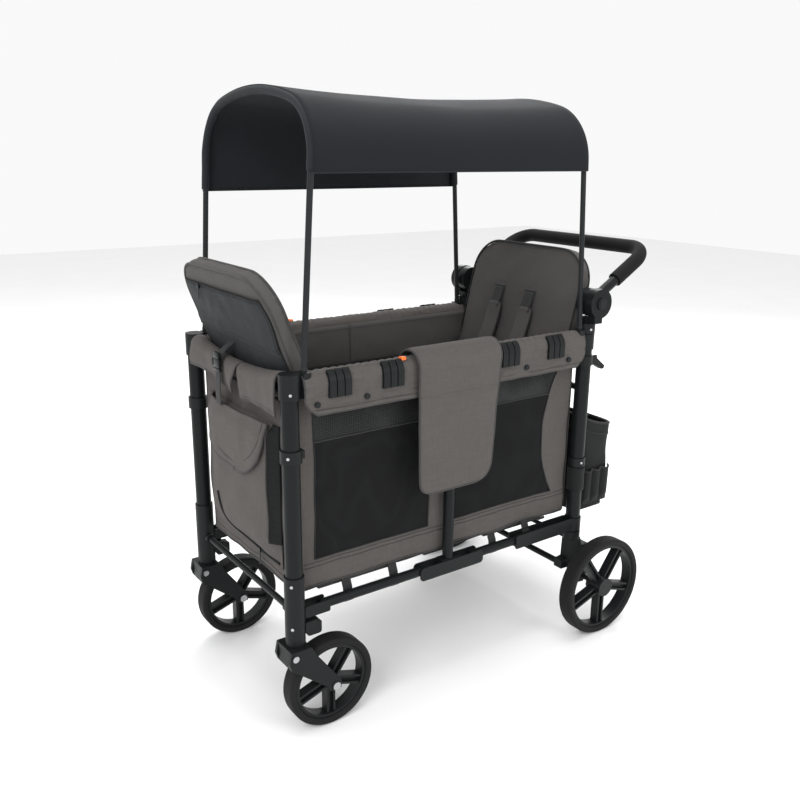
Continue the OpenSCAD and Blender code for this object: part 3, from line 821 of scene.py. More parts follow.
def flap_point(u, v, lift=0.0):
    """Point on the flap; v runs from its inner edge over the roll and down to its tail."""
    at = v * FLAP_LENGTH
    tail = max(0, at - FLAP_SHORT - FLAP_TURN)
    low, high = lerp(FLAP_LOW.y, -113 * MM, v), lerp(FLAP_HIGH.y, 84 * MM, v)
    end = FLAP_TAIL - tail
    for_front, for_rear = 26 * MM, 44 * MM
    if end < for_front:
        low += for_front - math.sqrt(max(0, for_front ** 2 - (for_front - end) ** 2))
    if end < for_rear:
        high -= for_rear - math.sqrt(max(0, for_rear ** 2 - (for_rear - end) ** 2))
    y = lerp(low, high, u)
    radius = FLAP_R + lift
    if at < FLAP_SHORT:
        x, z = -radius, at - FLAP_SHORT
    elif tail <= 0:
        a = math.pi - (at - FLAP_SHORT) / FLAP_R
        x, z = radius * math.cos(a), radius * math.sin(a)
    else:
        x, z = radius - 5 * MM * math.sin(math.pi * tail / FLAP_TAIL) * 0.6, -tail
    x += crumple((0, y, z), 0.07, 2.4 * MM, seed=11) * smoothstep(0, 0.05, tail)
    return Vector((SIDE_X + x, y, ROLL_Z + z))


SEAM_V = (FLAP_SHORT + FLAP_TURN + ROLL_Z - 0.705) / FLAP_LENGTH


def flap_pad(u, v):
    """Half thickness of the padding, pinched at the edges and at the cross seam."""
    edge = min(u, 1 - u) * 0.22 / 0.012
    ends = min(v, 1 - v) * FLAP_LENGTH / 0.012
    seam = abs(v - SEAM_V) * FLAP_LENGTH / 0.008
    return (1.0 + 2.6 * min(edge, ends, seam, 1) ** 0.5) * MM


outer = sheet_grid("flap_out", 44, 80, lambda u, v: flap_point(u, v, flap_pad(u, v)), GREY)
inner = sheet_grid("flap_in", 44, 80, lambda u, v: flap_point(u, v, -flap_pad(u, v)), LINING)
inner.data.flip_normals()
loop = [flap_point(k, 0) for k in shares(20)]
loop += [flap_point(1, k / 60) for k in range(1, 61)]
loop += [flap_point(1 - k / 20, 1) for k in range(1, 21)]
loop += [flap_point(0, 1 - k / 60) for k in range(1, 60)]
flap = joined("side_flap_pad", [
    outer, inner, tube("flap_piping", loop, 2.6 * MM, PIPING, closed=True),
    tube("flap_seam", [flap_point(k, SEAM_V, 1.6 * MM) for k in shares(30)], 0.8 * MM, STITCH)])
soft(flap, "mid_frame", "grey_fabric", "side_flap")


# ---------------------------------------------------------------- front cloth
COVER_LOW, COVER_HIGH = corners("front_cover")
PANEL_FRONT_LOW, PANEL_FRONT_HIGH = corners("front_panel")
POCKET_LOW, POCKET_HIGH = corners("front_pocket")
COVER_Y = (COVER_LOW.y + COVER_HIGH.y) / 2
COVER_HALF = 18.5 * MM
# Shares of the drape's length where it starts and ends its turn over the bar.
TURN_START, TURN_END = 0.2, 0.55


def front_cover_point(x, v):
    """Point on the drape between the front posts; v runs from inside to the front hem."""
    sag = 1 - (x / COVER_HIGH.x) ** 2
    crown = COVER_HIGH.z - COVER_HALF - 2 * MM - 15 * MM * sag
    fold = crumple((x * 1.2, v * 0.08, 0), 0.045, 6 * MM, seed=21)
    low = COVER_LOW.z + 1 * MM + (22 * MM * smoothstep(0.02, -0.17, x) if x < 0.02 else 0)
    half = COVER_HALF * lerp(1, 0.82, sag)
    if v < TURN_START:
        y, z = COVER_Y + half, lerp(crown - 40 * MM, crown, v / TURN_START)
    elif v < TURN_END:
        a = math.pi * (v - TURN_START) / (TURN_END - TURN_START)
        y, z = COVER_Y + half * math.cos(a), crown + half * math.sin(a)
    else:
        t = (v - TURN_END) / (1 - TURN_END)
        y = COVER_Y - half - 2 * MM * math.sin(math.pi * t) + 6 * MM * sag * t
        z = lerp(crown, low, t)
    return Vector((x, min(y - fold * 0.8, -0.381), z + fold * 0.3))


def cover_left(u, v):
    tip = lerp(0.024, -0.004, smoothstep(0.3, 1, v))
    p = front_cover_point(lerp(COVER_LOW.x - 6 * MM, tip, u), v)
    return p + Vector((0, -5 * MM * smoothstep(0.75, 1, u) * smoothstep(0.4, 1, v), 0))


def cover_right(u, v):
    tip = lerp(0.026, 0.046, smoothstep(0.3, 1, v))
    p = front_cover_point(lerp(tip, COVER_HIGH.x + 6 * MM, u), v)
    return p + Vector((0, -7 * MM * smoothstep(0.25, 0, u) * smoothstep(0.4, 1, v), 0))


pieces, hems = [], []
for name, place, slit in (("left", cover_left, 1), ("right", cover_right, 0)):
    half = sheet_grid(f"cover_{name}", 30, 34, place, GREY, LINING)
    half.data.flip_normals()
    pieces.append(thicken(half, 3 * MM))
    hem = [place(k, 1) for k in shares(20)]
    edge = [place(slit, k / 24) for k in range(5, 25)]
    post = [place(1 - slit, k) for k in shares(24)]
    seam = [place(k, 0.95) + Vector((0, -1.6 * MM, 0)) for k in shares(20)]
    hems += [tube(f"hem_{name}", hem, 2.2 * MM, PIPING),
             tube(f"slit_{name}", edge, 1.8 * MM, PIPING),
             tube(f"post_{name}", post, 2.0 * MM, PIPING),
             tube(f"row_{name}", seam, 0.5 * MM, STITCH, sides=1)]
cover = joined("front_drape", pieces)
soft(cover, "front_frame", "grey_fabric", "front_cover")
soft(joined("front_drape_hems", hems), "front_frame", "grey_fabric")


def front_wall_point(u, v, lift=0.0):
    x = lerp(PANEL_FRONT_LOW.x, PANEL_FRONT_HIGH.x, u)
    z = lerp(PANEL_FRONT_LOW.z, PANEL_FRONT_HIGH.z + 22 * MM, v)
    bow = 3 * MM * math.sin(math.pi * u)
    fold = crumple((x, 0, z * 0.6), 0.06, 6 * MM, seed=31)
    scallop = 6 * MM * math.sin(math.pi * u) * smoothstep(0.12, 0, v)
    return Vector((x, (PANEL_FRONT_LOW.y + PANEL_FRONT_HIGH.y) / 2 + 1 * MM - bow - fold - lift,
                   z + scallop))


wall = sheet_grid("front_wall", 48, 48, front_wall_point, GREY)
wall = thicken(wall, 3 * MM)
trims = [tube("front_hem", [front_wall_point(k, 0, 1 * MM) for k in shares(30)], 2.4 * MM, PIPING)]
for u in (0, 1):
    trims.append(tube(f"front_side_{u}", [front_wall_point(u, k) for k in shares(30)],
                      2.2 * MM, PIPING))
trims.append(tube("front_row", [front_wall_point(k, 0.035, 2 * MM) for k in shares(30)],
                  0.5 * MM, STITCH, sides=1))
wall = joined("front_wall", [wall] + trims)
soft(wall, "front_frame", "grey_fabric", "front_panel")

BAG_LEFT, BAG_RIGHT = POCKET_LOW.x - 8 * MM, 136 * MM
GUSSET_END = POCKET_HIGH.x
BAG_FULL = PANEL_FRONT_LOW.y - POCKET_LOW.y - 4 * MM
GUSSET_LOW = 405 * MM
BAG_CELLS = (34, 8)
BAG_EDGE = BAG_CELLS[0] / sum(BAG_CELLS)


def bag_height(x, z):
    """How far the pocket stands out from the panel."""
    left = smoothstep(BAG_LEFT, BAG_LEFT + 45 * MM, x)
    low = smoothstep(POCKET_LOW.z, POCKET_LOW.z + 60 * MM, z)
    top = smoothstep(POCKET_HIGH.z + 4 * MM, POCKET_HIGH.z - 14 * MM, z)
    open_side = smoothstep(GUSSET_LOW - 30 * MM, GUSSET_LOW + 10 * MM, z)
    right = 1 if x <= BAG_RIGHT else 1 - (x - BAG_RIGHT) / (GUSSET_END - BAG_RIGHT)
    soft_right = smoothstep(GUSSET_END, GUSSET_END - 60 * MM, x)
    right = lerp(soft_right, right, open_side)
    body = 0.72 + 0.28 * math.sin(math.pi * min(max((x - BAG_LEFT) / (BAG_RIGHT - BAG_LEFT), 0), 1))
    return BAG_FULL * left * low * top * right * body


def bag_point(u, v, lift=0.0):
    x = piecewise(u, BAG_CELLS, (BAG_LEFT, BAG_RIGHT, GUSSET_END))
    z = lerp(POCKET_LOW.z, POCKET_HIGH.z + 4 * MM, v)
    pleat = 0
    if x > BAG_RIGHT and z > GUSSET_LOW:
        share = (x - BAG_RIGHT) / (GUSSET_END - BAG_RIGHT)
        pleat = 1.6 * MM * math.sin(z * 420) * math.sin(math.pi * share)
    fold = crumple((x, 0, z * 0.55), 0.055, 7 * MM, seed=41) * min(bag_height(x, z) / 0.012, 1)
    y = PANEL_FRONT_LOW.y - 2.5 * MM - bag_height(x, z) - fold * 0.8 - lift
    return Vector((x + pleat, max(y, POCKET_LOW.y - 3 * MM), z))


def bag_cell(u, v):
    z = lerp(POCKET_LOW.z, POCKET_HIGH.z, v)
    return 1 if u > BAG_EDGE and z > GUSSET_LOW else 0


bag = sheet_grid("front_bag", sum(BAG_CELLS), 56, bag_point, GREY, BLACK_CLOTH, pick=bag_cell)
bag = thicken(bag, 2.4 * MM)
v_low = (GUSSET_LOW - POCKET_LOW.z) / (POCKET_HIGH.z - POCKET_LOW.z)
edge = [bag_point(BAG_EDGE, lerp(v_low, 0.96, k), 1.5 * MM) for k in shares(24)]
row = [p + Vector((-7 * MM, -0.3 * MM, 0)) for p in edge]
bag = joined("front_bag", [bag, tube("bag_edge", edge, 2.0 * MM, PIPING),
                           tube("bag_row", row, 0.5 * MM, STITCH, sides=1)])
soft(bag, "front_frame", "grey_fabric", "front_pocket")


def on_bag(x, z, lift=0.0):
    """Point on the pocket or the panel below it, from x and z."""
    if x <= BAG_RIGHT:
        u = (x - BAG_LEFT) / (BAG_RIGHT - BAG_LEFT) * BAG_EDGE
    else:
        u = BAG_EDGE + (x - BAG_RIGHT) / (GUSSET_END - BAG_RIGHT) * (1 - BAG_EDGE)
    v = (z - POCKET_LOW.z) / (POCKET_HIGH.z + 4 * MM - POCKET_LOW.z)
    return bag_point(min(max(u, 0), 1), min(max(v, 0), 1), lift)


TONGUE_TOP, TONGUE_DROP = 667 * MM, 128 * MM


def tongue_point(u, v, lift=0.0):
    """Point on the pocket's rounded flap; v runs down from its seam."""
    half = 143 * MM * (1 - (v * 0.985) ** 3.4) ** 0.46
    x = lerp(-half, half, u) - 8 * MM - 4 * MM * v
    z = TONGUE_TOP - TONGUE_DROP * v
    base = on_bag(x, min(z, POCKET_HIGH.z - 18 * MM), 5 * MM + lift)
    curl = 6 * MM * smoothstep(0.7, 1, u) * smoothstep(0.1, 0.6, v)
    return Vector((x, max(base.y - curl, POCKET_LOW.y - 8 * MM) + 8 * MM * smoothstep(0.25, 0, v), z))


tongue = sheet_grid("pocket_tongue", 36, 26, tongue_point, GREY)
tongue = thicken(tongue, 4 * MM)
line = [tongue_point(0, k) for k in shares(30)] + [tongue_point(k / 12, 1) for k in range(1, 12)]
line += [tongue_point(1, 1 - k) for k in shares(30)]
row = []
for k in range(41):
    a = math.pi * k / 40
    row.append(tongue_point(0.5 - 0.46 * math.cos(a), 0.9 * math.sin(a) ** 0.6, 2.4 * MM))
tongue = joined("pocket_tongue", [tongue, tube("tongue_edge", line, 2.8 * MM, PIPING),
                                  tube("tongue_row", row, 0.5 * MM, STITCH, sides=1)])
soft(tongue, "front_frame", "grey_fabric")

ZIP = [(-0.088, 0.452), (-0.086, 0.432), (-0.078, 0.412), (-0.062, 0.394), (-0.036, 0.380),
       (0.0, 0.371), (0.04, 0.365), (0.08, 0.361), (0.115, 0.359), (0.150, 0.360)]
zip_line = tube("pocket_zip", [on_bag(x, z, 2.2 * MM) for x, z in ZIP], 3.0 * MM, BLACK_CLOTH)
pull_top = on_bag(0.068, 0.362, 5 * MM)
pull = rounded_box("zip_pull", pull_top + Vector((-4, -2.5, -6)) * MM,
                   pull_top + Vector((4, 1.5, 5)) * MM, 1.2 * MM, GLOSS_PLASTIC)
tag = ribbon("zip_tag", [pull_top + Vector((0, -1 * MM, -k * 7 * MM)) for k in range(6)],
             (1, 0, 0), 7 * MM, 2 * MM, STRAP)
soft(joined("pocket_zip", [zip_line, pull, tag]), "front_frame", "black_fabric")

# Webbing with a side-release buckle that holds the front seat's back upright.
STRAP_X = -0.045
strap_line = [Vector((STRAP_X + 4 * MM, -0.372, 0.812)), Vector((STRAP_X + 3 * MM, -0.384, 0.806)),
              Vector((STRAP_X + 2 * MM, -0.402, 0.797)), Vector((STRAP_X + 1 * MM, -0.418, 0.785)),
              Vector((STRAP_X, -0.4262, 0.768)), Vector((STRAP_X, -0.4272, 0.750))]
tail_line = [Vector((STRAP_X, -0.4282, 0.742)), Vector((STRAP_X - 1 * MM, -0.4292, 0.722)),
             Vector((STRAP_X - 3 * MM, -0.4292, 0.700)), Vector((STRAP_X - 5 * MM, -0.4282, 0.680)),
             Vector((STRAP_X - 7 * MM, -0.4272, 0.664))]
strap = [ribbon("strap_up", strap_line, (1, 0, 0), 25 * MM, 2 * MM, STRAP),
         ribbon("strap_down", tail_line, (1, 0, 0), 25 * MM, 2 * MM, STRAP)]
for k, (half, low, high) in enumerate(((16, 741, 749), (14.5, 749, 768), (13, 768, 783))):
    strap.append(rounded_box(f"buckle_{k}", (STRAP_X - half * MM, -0.4335, low * MM),
                             (STRAP_X + half * MM, -0.4265, high * MM), 2.2 * MM, GLOSS_PLASTIC))
for s in (-1, 1):
    strap.append(rounded_box(f"buckle_arm_{s}", (STRAP_X + s * 15 * MM - 2 * MM, -0.4345, 0.752),
                             (STRAP_X + s * 15 * MM + 2 * MM, -0.4275, 0.768), 1.6 * MM, PLASTIC))
soft(joined("back_strap", strap), "front_frame", "black_fabric")


# ---------------------------------------------------------------- padded seats
def inflated(node, name, finish, voxel, held, limit):
    """Copy of a CAD node blown up like a stuffed cover; held(point) picks the stitched places."""
    source = bpy.data.objects[node]
    mesh = source.data.copy()
    mesh.transform(source.matrix_world)
    mesh.materials.clear()
    pad = new_object(name, mesh, finish)
    remesh = pad.modifiers.new("remesh", "REMESH")
    remesh.mode = "VOXEL"
    remesh.voxel_size = voxel
    even = pad.modifiers.new("even", "SMOOTH")
    even.factor = 0.5
    even.iterations = 4
    pad = settle(pad)
    start = [v.co.copy() for v in pad.data.vertices]
    group = pad.vertex_groups.new(name="held")
    group.add([k for k, p in enumerate(start) if held(p)], 1.0, "REPLACE")
    cloth = pad.modifiers.new("cloth", "CLOTH")
    cloth.settings.quality = 5
    cloth.settings.mass = 0.25
    cloth.settings.tension_stiffness = 12
    cloth.settings.compression_stiffness = 8
    cloth.settings.shear_stiffness = 5
    cloth.settings.bending_stiffness = 0.6
    cloth.settings.use_pressure = True
    cloth.settings.uniform_pressure_force = 4
    cloth.settings.vertex_group_mass = "held"
    cloth.settings.effector_weights.gravity = 0
    cloth.point_cache.frame_start = 1
    cloth.point_cache.frame_end = 20
    for frame_number in range(1, 21):
        bpy.context.scene.frame_set(frame_number)
    pad = settle(pad)
    bpy.context.scene.frame_set(1)
    for v, old in zip(pad.data.vertices, start):
        move = v.co - old
        if move.length > limit:
            v.co = old + move.normalized() * limit
    subdivide(pad)
    return settle(pad)


def lean_frame(end):
    """Foot, upward direction and outward direction of a seat back's front face."""
    lean = math.radians(21 if end < 0 else 14)
    foot = Vector((0, -0.235 if end < 0 else 0.305, 0.490))
    upward = Vector((0, end * math.sin(lean), math.cos(lean)))
    return foot, upward, Vector((0, -end * math.cos(lean), math.sin(lean)))


BACK_LENGTH = {-1: 0.520, 1: 0.495}
BACK_HALF, BACK_CORNER, BACK_THICK = 0.199, 0.085, 0.030


def back_half(end, up, inset):
    """Half width of a seat back at a distance up from its foot."""
    over = up - (BACK_LENGTH[end] - BACK_CORNER)
    half = BACK_HALF - inset
    if over > 0:
        r = BACK_CORNER - inset
        half -= r - math.sqrt(max(0, r * r - over * over))
    return half


def back_frame_place(end, p):
    """(x, up) of a world point in a seat back's own directions."""
    foot, upward = lean_frame(end)[:2]
    rel = p - foot
    return rel.x, rel.dot(upward)


def back_held(end):
    seam = 0.364 if end < 0 else 0.16

    def held(p):
        x, up = back_frame_place(end, p)
        rim = back_half(end, up, 0) - abs(x) < 7 * MM or up < 8 * MM
        rim = rim or up > BACK_LENGTH[end] - 7 * MM
        return rim or abs(up - seam) < 3.5 * MM
    return held


def surface_on(piece, face):
    """Function that finds the skin of a seat back; face is 1 for its front and -1 behind."""
    shell = bmesh.new()
    shell.from_mesh(piece.data)
    tree = BVHTree.FromBMesh(shell)
    shell.free()
    end = -1 if piece.name.startswith("front") else 1
    foot, upward, out = lean_frame(end)

    def at(x, up, lift=0.0):
        start = foot + Vector((x, 0, 0)) + upward * up + out * face * 0.15
        hit = tree.ray_cast(start, -out * face)[0]
        if hit is None:
            hit = foot + Vector((x, 0, 0)) + upward * up + out * (0 if face > 0 else -BACK_THICK)
        return hit + out * face * lift
    return at


def rim_line(end, inset, depth):
    """Line round the edge of a seat back, at a depth behind its front face."""
    foot, upward, out = lean_frame(end)
    top, r = BACK_LENGTH[end] - inset, BACK_CORNER - inset
    places = [(BACK_HALF - inset, up) for up in (0.01, 0.1, 0.2, 0.3, top - r)]
    for k in range(1, 12):
        a = math.pi / 2 * k / 12
        places.append((BACK_HALF - inset - r + r * math.cos(a), top - r + r * math.sin(a)))
    places += [(x, top) for x in (0.1, 0.05, 0.0)]
    places += [(-x, up) for x, up in reversed(places[:-1])]
    return [foot + Vector((x, 0, 0)) + upward * up - out * depth for x, up in places]


backs = {}
for end, end_name in ENDS:
    name = f"{end_name}_back_pad"
    pad = inflated(f"{end_name}_seat_back", name, SEAT_GREY, 7 * MM, back_held(end), 8 * MM)
    ruffle(pad, 0.06, 2.2 * MM, end * 13)
    backs[end] = pad
front_skin, rear_skin = surface_on(backs[-1], -1), surface_on(backs[1], 1)
for end, end_name in ENDS:
    pad = backs[end]
    trims = [tube(f"{end_name}_piping_{k}", rim_line(end, 2.4 * MM, depth), 2.6 * MM,
                  DARK_PIPING if end > 0 else PIPING) for k, depth in enumerate((0.001, 0.029))]
    pad = joined(pad.name, [pad] + trims)
    soft(pad, f"{end_name}_seat", "seat_fabric", f"{end_name}_seat_back")


# Pocket panel on the outside of the front seat's back.
def back_panel_point(u, v, lift=2.5 * MM):
    up = lerp(0.012, 0.476, v)
    half = back_half(-1, up, 13 * MM)
    x = lerp(-half, half, u)
    lip = 4 * MM * smoothstep(0.36, 0.372, up) * smoothstep(0.40, 0.372, up)
    fold = crumple((x, up * 0.8, 0), 0.05, 3.2 * MM, seed=51)
    return front_skin(x, up, lift + abs(fold) + lip)


panel = sheet_grid("back_pocket", 36, 48, back_panel_point, NAVY_CLOTH)
panel.data.flip_normals()
panel = thicken(panel, 2 * MM)
edge = [back_panel_point(k, 1, 3 * MM) for k in shares(24)]
trims = [tube("pocket_edge", edge, 2.6 * MM, BLACK_CLOTH)]
for k, v in enumerate((0.752, 0.77)):
    trims.append(tube(f"pocket_hem_{k}", [back_panel_point(j, v, 4 * MM) for j in shares(24)],
                      0.9 * MM if k else 1.6 * MM, DARK_PIPING))
for u in (0.0, 1.0):
    trims.append(tube(f"pocket_side_{u:.0f}", [back_panel_point(u, j, 2.5 * MM) for j in shares(24)],
                      1.8 * MM, DARK_PIPING))
pull_at = back_panel_point(0.22, 0.995, 6 * MM)
trims.append(rounded_box("back_pull", pull_at + Vector((-4, -3, -7)) * MM,
                         pull_at + Vector((4, 2, 4)) * MM, 1.2 * MM, GLOSS_PLASTIC))
trims.append(ribbon("back_tag", [pull_at + Vector((0, -1.5 * MM, -k * 6 * MM)) for k in range(1, 6)],
                    (1, 0, 0), 7 * MM, 2 * MM, STRAP))
panel = joined("back_pocket", [panel] + trims)
soft(panel, "front_seat", "black_fabric")


# Shoulder straps on the rear seat's back, and on the inside of the front one.
PAD_STEPS = 13


def shoulder_strap(name, skin, end, x, top):
    out = lean_frame(end)[2]
    slot_line = [skin(x - 21 * MM + 42 * MM * k, top + 20 * MM, 0.6 * MM) for k in shares(6)]
    web = [skin(x + k * 0.8 * MM, top + 18 * MM - k * 9 * MM, (2 + k * 2.2) * MM) for k in range(7)]
    pad_line = []
    for t in shares(PAD_STEPS):
        lift = (12 + 26 * math.sin(t * 2.1) * t) * MM
        pad_line.append(skin(x + 3 * MM + t * 6 * MM, top - 22 * MM - 190 * MM * t, lift))

    def pad_point(u, v):
        at = v * PAD_STEPS
        k = min(int(at), PAD_STEPS - 1)
        centre = pad_line[k].lerp(pad_line[k + 1], at - k)
        across = 2 * u - 1
        ends = min(v, 1 - v) / 0.06
        half = 23 * MM * math.sqrt(min(1, 0.45 + 0.55 * ends))
        return centre + Vector((across * half, 0, 0)) - out * 5 * MM * across ** 2

    pad = sheet_grid(f"{name}_pad", 10, 40, pad_point, SEAT_GREY)
    pad = thicken(pad, 9 * MM, rounds=1)
    loop = [pad_point(0, k) for k in shares(20)] + [pad_point(1, 1 - k) for k in shares(20)]
    low = [pad_line[-1] + Vector((0, 0, -k * 12 * MM)) - out * k * 1.5 * MM for k in range(6)]
    parts = [pad, tube(f"{name}_binding", loop, 2.4 * MM, DARK_PIPING, closed=True),
             ribbon(f"{name}_web", web, (1, 0, 0), 36 * MM, 2.2 * MM, STRAP),
             ribbon(f"{name}_low", low, (1, 0, 0), 25 * MM, 2.0 * MM, STRAP),
             tube(f"{name}_slot", slot_line, 1.8 * MM, DARK_PIPING)]
    strap = joined(name, parts)
    soft(strap, "front_seat" if end < 0 else "rear_seat", "seat_fabric")


front_inner = surface_on(bpy.data.objects["front_back_pad"], 1)
for k, x in enumerate((-0.066, 0.047)):
    shoulder_strap(f"rear_shoulder_{k}", rear_skin, 1, x, 0.356)
    shoulder_strap(f"front_shoulder_{k}", front_inner, -1, x + 15 * MM, 0.33)


# Seat cushions.
def base_held(low, high):
    def held(p):
        rim = min(p.x - low.x, high.x - p.x, p.y - low.y, high.y - p.y) < 7 * MM
        return rim or abs(p.y - (low.y + high.y) / 2) < 3 * MM
    return held


for end_name in ("front", "rear"):
    low, high = corners(f"{end_name}_seat_base")
    pad = inflated(f"{end_name}_seat_base", f"{end_name}_cushion", SEAT_GREY, 8 * MM,
                   base_held(low, high), 7 * MM)
    ring = [(low.x, low.y), (0, low.y), (high.x, low.y), (high.x, (low.y + high.y) / 2),
            (high.x, high.y), (0, high.y), (low.x, high.y), (low.x, (low.y + high.y) / 2)]
    trims = [tube(f"{end_name}_cushion_edge_{k}", [Vector((x * 0.995, y, z)) for x, y in ring],
                  2.4 * MM, DARK_PIPING, closed=True) for k, z in enumerate((low.z + MM, high.z - MM))]
    pad = joined(pad.name, [pad] + trims)
    soft(pad, f"{end_name}_frame", "seat_fabric", f"{end_name}_seat_base")
    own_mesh(pad)
    middle = (low.y + high.y) / 2
    top = high.z + 6 * MM
    crotch = [Vector((0, middle, top - 4 * MM)), Vector((0, middle, top + 12 * MM)),
              Vector((0, middle + 6 * MM, top + 40 * MM)), Vector((0, middle + 8 * MM, top + 66 * MM))]
    parts = [ribbon(f"{end_name}_crotch", crotch, (1, 0, 0), 25 * MM, 2.2 * MM, STRAP),
             rounded_box(f"{end_name}_buckle", (-0.024, middle - 2 * MM, top + 0.050),
                         (0.024, middle + 14 * MM, top + 0.098), 5 * MM, GLOSS_PLASTIC),
             rounded_box(f"{end_name}_press", (-0.011, middle - 5 * MM, top + 0.064),
                         (0.011, middle, top + 0.086), 2.4 * MM, PLASTIC)]
    for s in (-1, 1):
        belt = [Vector((s * (0.022 + 0.0245 * k), middle + (8 + 1.2 * k * k) * MM,
                        top + (70 - 6.6 * k) * MM)) for k in range(8)]
        belt = [Vector((p.x, p.y, max(p.z, top + 2 * MM))) for p in belt]
        parts.append(ribbon(f"{end_name}_belt_{s}", belt, (0, 0.3, 1), 25 * MM, 2 * MM, STRAP))
    soft(joined(f"{end_name}_harness", parts), f"{end_name}_frame", "black_fabric")


# ---------------------------------------------------------------- rear cloth and basket
REAR_LOW, REAR_HIGH = corners("rear_panel")
BASKET_LOW, BASKET_HIGH = corners("basket")


def rear_wall_point(u, v):
    x = lerp(REAR_LOW.x, REAR_HIGH.x, u)
    z = lerp(REAR_LOW.z, REAR_HIGH.z, v)
    fold = crumple((x, 2, z * 0.6), 0.06, 3 * MM, seed=61)
    bow = 3 * MM * math.sin(math.pi * u) * math.sin(math.pi * v)
    return Vector((x, (REAR_LOW.y + REAR_HIGH.y) / 2 + bow + fold, z))


wall = thicken(sheet_grid("rear_wall", 40, 40, rear_wall_point, GREY), 3 * MM)
frame_line = [(k / 20, 0) for k in range(20)] + [(1, k / 20) for k in range(20)]
frame_line += [(1 - k / 20, 1) for k in range(20)] + [(0, 1 - k / 20) for k in range(20)]
edge = tube("rear_edge", [rear_wall_point(u, v) for u, v in frame_line], 2.4 * MM, PIPING, closed=True)
seam = tube("rear_seam", [rear_wall_point(k, 0.85) + Vector((0, 1.8 * MM, 0)) for k in shares(20)],
            0.8 * MM, STITCH, sides=1)
wall = joined("rear_wall", [wall, edge, seam])
soft(wall, "rear_frame", "grey_fabric", "rear_panel")


BASKET_POWER = 0.28  # Power of sine and cosine for the basket's outline; 1 makes it round.


def basket_point(u, v, lift=0.0):
    """Point on the basket's wall; u runs round it from the middle of its front."""
    a = 2 * math.pi * u - math.pi / 2
    c, s = math.cos(a), math.sin(a)
    across = math.copysign(abs(c) ** BASKET_POWER, c)
    along = math.copysign(abs(s) ** BASKET_POWER, s)
    low_y, depth = BASKET_LOW.y + 2 * MM, lerp(118, 132, v) * MM
    y = low_y + depth * (along + 1) / 2
    rim = lerp(556, 517, (y - low_y) / depth) * MM
    rim -= 9 * MM * math.sin(math.pi * min(max((y - low_y) / depth, 0), 1)) * abs(across)
    z = lerp(BASKET_LOW.z + 2 * MM, rim, v)
    x = across * (BASKET_HIGH.x - 3 * MM)
    slump = crumple((x, y * 1.3, z * 0.6), 0.05, 6 * MM, seed=71) * math.sin(math.pi * v)
    belly = 2 * MM * math.sin(math.pi * min(1, v * 1.2))
    out = Vector((across * abs(across), along * abs(along), 0)).normalized()
    return Vector((x, y, z)) + out * (slump - 3 * MM + belly + lift)


shell = sheet_grid("basket_shell", 128, 40, basket_point, BLACK_CLOTH, closed=True)
foot = [basket_point(k / 128, 0) for k in range(128)]
centre = sum(foot, Vector()) / 128
bottom = sheet_grid("basket_floor", 128, 6, lambda u, v: centre.lerp(basket_point(u, 0), 0.02 + 0.98 * v)
                    + Vector((0, 0, 2.5 * MM * math.sin(math.pi * v))), BLACK_CLOTH, closed=True)
basket = [thicken(shell, 3 * MM), thicken(bottom, 3 * MM)]
for name, v, radius, lift in (("rim", 1, 3.4, 0), ("hem_a", 0.88, 1.2, 2), ("hem_b", 0.865, 0.8, 2),
                              ("foot", 0, 2.6, 0)):
    ring = [basket_point(k / 96, v, lift * MM) for k in range(96)]
    basket.append(tube(f"basket_{name}", ring, radius * MM, DARK_PIPING, closed=True))
basket = joined("basket_bag", basket)
soft(basket, "rear_frame", "black_fabric", "basket")


def side_pocket_point(side, u, v):
    y = lerp(452 * MM, 548 * MM, u)
    z = lerp(BASKET_LOW.z + 14 * MM, 405 * MM - 4 * MM * math.sin(3 * math.pi * u) ** 2, v)
    gather = abs(math.sin(3 * math.pi * u)) ** 0.7
    swell = (2 + 7 * gather * smoothstep(0, 0.25, v) + 2 * v) * MM
    rim = min(u, 1 - u) / 0.05
    return Vector((side * (BASKET_HIGH.x - 4 * MM + swell * min(rim, 1)), y, z))


for side, side_name in SIDES:
    name = f"basket_pocket_{side_name}"
    pocket = sheet_grid(name, 36, 16, lambda u, v: side_pocket_point(side, u, v), BLACK_CLOTH)
    top = [side_pocket_point(side, k, 1) for k in shares(36)]
    parts = [thicken(pocket, 2 * MM), tube(f"{name}_top", top, 2.6 * MM, DARK_PIPING)]
    for k in (1, 2):
        seam = [side_pocket_point(side, k / 3, j) for j in shares(10)]
        parts.append(tube(f"{name}_seam_{k}", seam, 1.2 * MM, DARK_PIPING))
    soft(joined(name, parts), "rear_frame", "black_fabric")

    def wrap_point(u, v):
        a = 2 * math.pi * u
        r = POST_R + 2.6 * MM + crumple((side, math.cos(a) * 0.05, v * 0.1), 0.03, 1.0 * MM)
        return Vector((side * (SIDE_X + r * math.cos(a)), POST_Y + r * math.sin(a), lerp(0.376, 0.437, v)))

    name = f"basket_band_{side_name}"
    band = thicken(sheet_grid(name, 40, 8, wrap_point, BLACK_CLOTH, closed=True), 2 * MM)
    tab = ribbon(f"basket_tab_{side_name}", [Vector((side * SIDE_X, POST_Y + 20 * MM, 0.407)),
                                             Vector((side * 0.220, POST_Y + 32 * MM, 0.408)),
                                             Vector((side * 0.209, POST_Y + 44 * MM, 0.408))],
                 (0, 0, 1), 50 * MM, 2.4 * MM, BLACK_CLOTH)
    soft(joined(name, [band, tab]), "rear_frame", "black_fabric")


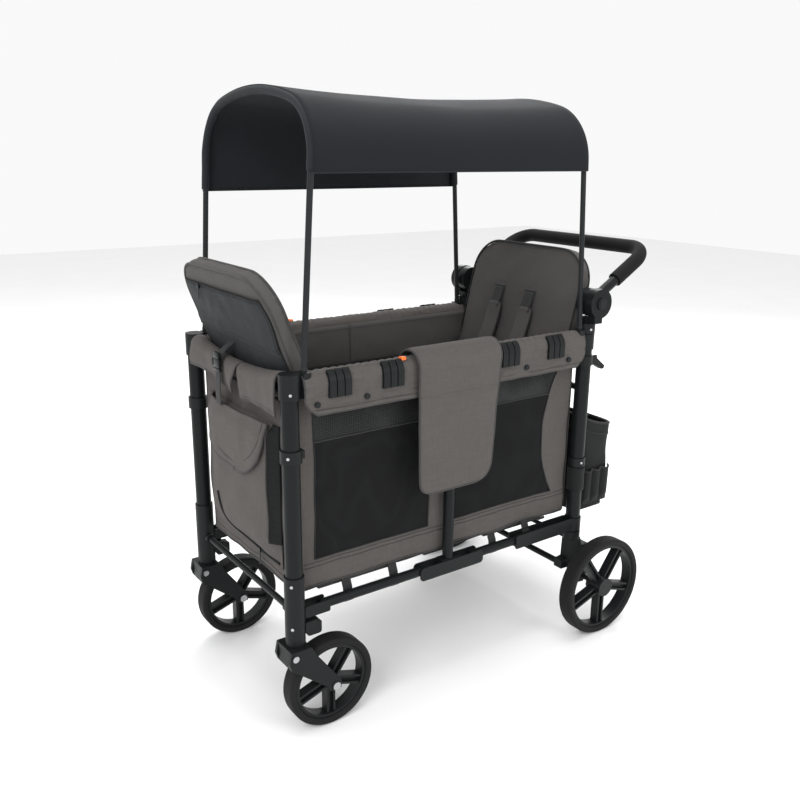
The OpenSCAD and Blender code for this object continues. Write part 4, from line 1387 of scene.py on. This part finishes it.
# ---------------------------------------------------------------- small fittings
def rivet(name, place, out, radius, finish, body, slot):
    """Domed rivet head on a surface."""
    out = Vector(out).normalized()
    shell = bmesh.new()
    bmesh.ops.create_uvsphere(shell, u_segments=20, v_segments=10, radius=radius)
    for v in shell.verts:
        v.co.z *= 0.45
    head = from_shell(name, shell, finish)
    head.matrix_world = Matrix.Translation(place) @ out.to_track_quat("Z", "Y").to_matrix().to_4x4()
    soft(head, body, slot)


BOSS_R = 21 * MM
for side, side_name in SIDES:
    for k, z in enumerate((0.256, 0.352, 0.6255)):
        place = Vector((side * (SIDE_X + BOSS_R * 0.72), -POST_Y - BOSS_R * 0.70, z))
        rivet(f"front_rivet_{side_name}_{k}", place, (side, -1, 0), 3.6 * MM, STEEL, "front_frame", "steel")
    for k, z in enumerate((0.451, 0.790)):
        place = Vector((side * (SIDE_X + BOSS_R * 0.98), POST_Y - BOSS_R * 0.22, z))
        rivet(f"rear_rivet_{side_name}_{k}", place, (side, -0.2, 0), 3.4 * MM, STEEL, "rear_frame", "steel")
    cap = Vector((side * (SIDE_X + 19 * MM), -POST_Y - 8 * MM, 0.752))
    rivet(f"cap_rivet_{side_name}", cap, (side, -0.4, 0), 3.2 * MM, STEEL, "front_frame", "steel")
    tab = rounded_box(f"release_tab_{side_name}", (side * 0.238 - 7 * MM, -0.155, 0.786),
                      (side * 0.238 + 7 * MM, -0.143, 0.793), 2.2 * MM, ORANGE)
    soft(tab, "front_upper_rails", "black_plastic")
    for end_name, places in (("front", (-0.27, -0.15)), ("rear", (0.14, 0.25))):
        for k, y in enumerate(places):
            loop = [Vector((side * 0.206, y, 0.322)), Vector((side * 0.211, y, 0.306)),
                    Vector((side * 0.216, y, 0.297)), Vector((side * 0.2155, y, 0.272)),
                    Vector((side * 0.222, y, 0.268))]
            hanger = ribbon(f"{end_name}_hanger_{side_name}_{k}", loop, (0, 1, 0), 24 * MM, 2 * MM, STRAP)
            soft(hanger, f"{end_name}_lower_rails", "black_fabric")


# ---------------------------------------------------------------- floor cloth
FLOOR_Z = 313 * MM
for end, end_name in ENDS:
    def floor_point(u, v):
        x, y = lerp(-203 * MM, 203 * MM, u), end * lerp(0.5 * MM, 386 * MM, v)
        swell = crumple((x, y, 0), 0.07, 3 * MM, seed=81) + 2 * MM * math.sin(math.pi * u)
        return Vector((x, y, FLOOR_Z + swell))

    name = f"{end_name}_floor_cloth"
    cloth = thicken(sheet_grid(name, 30, 30, floor_point, LINING), 3 * MM)
    soft(cloth, f"{end_name}_frame", "black_fabric")
    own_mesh(cloth)
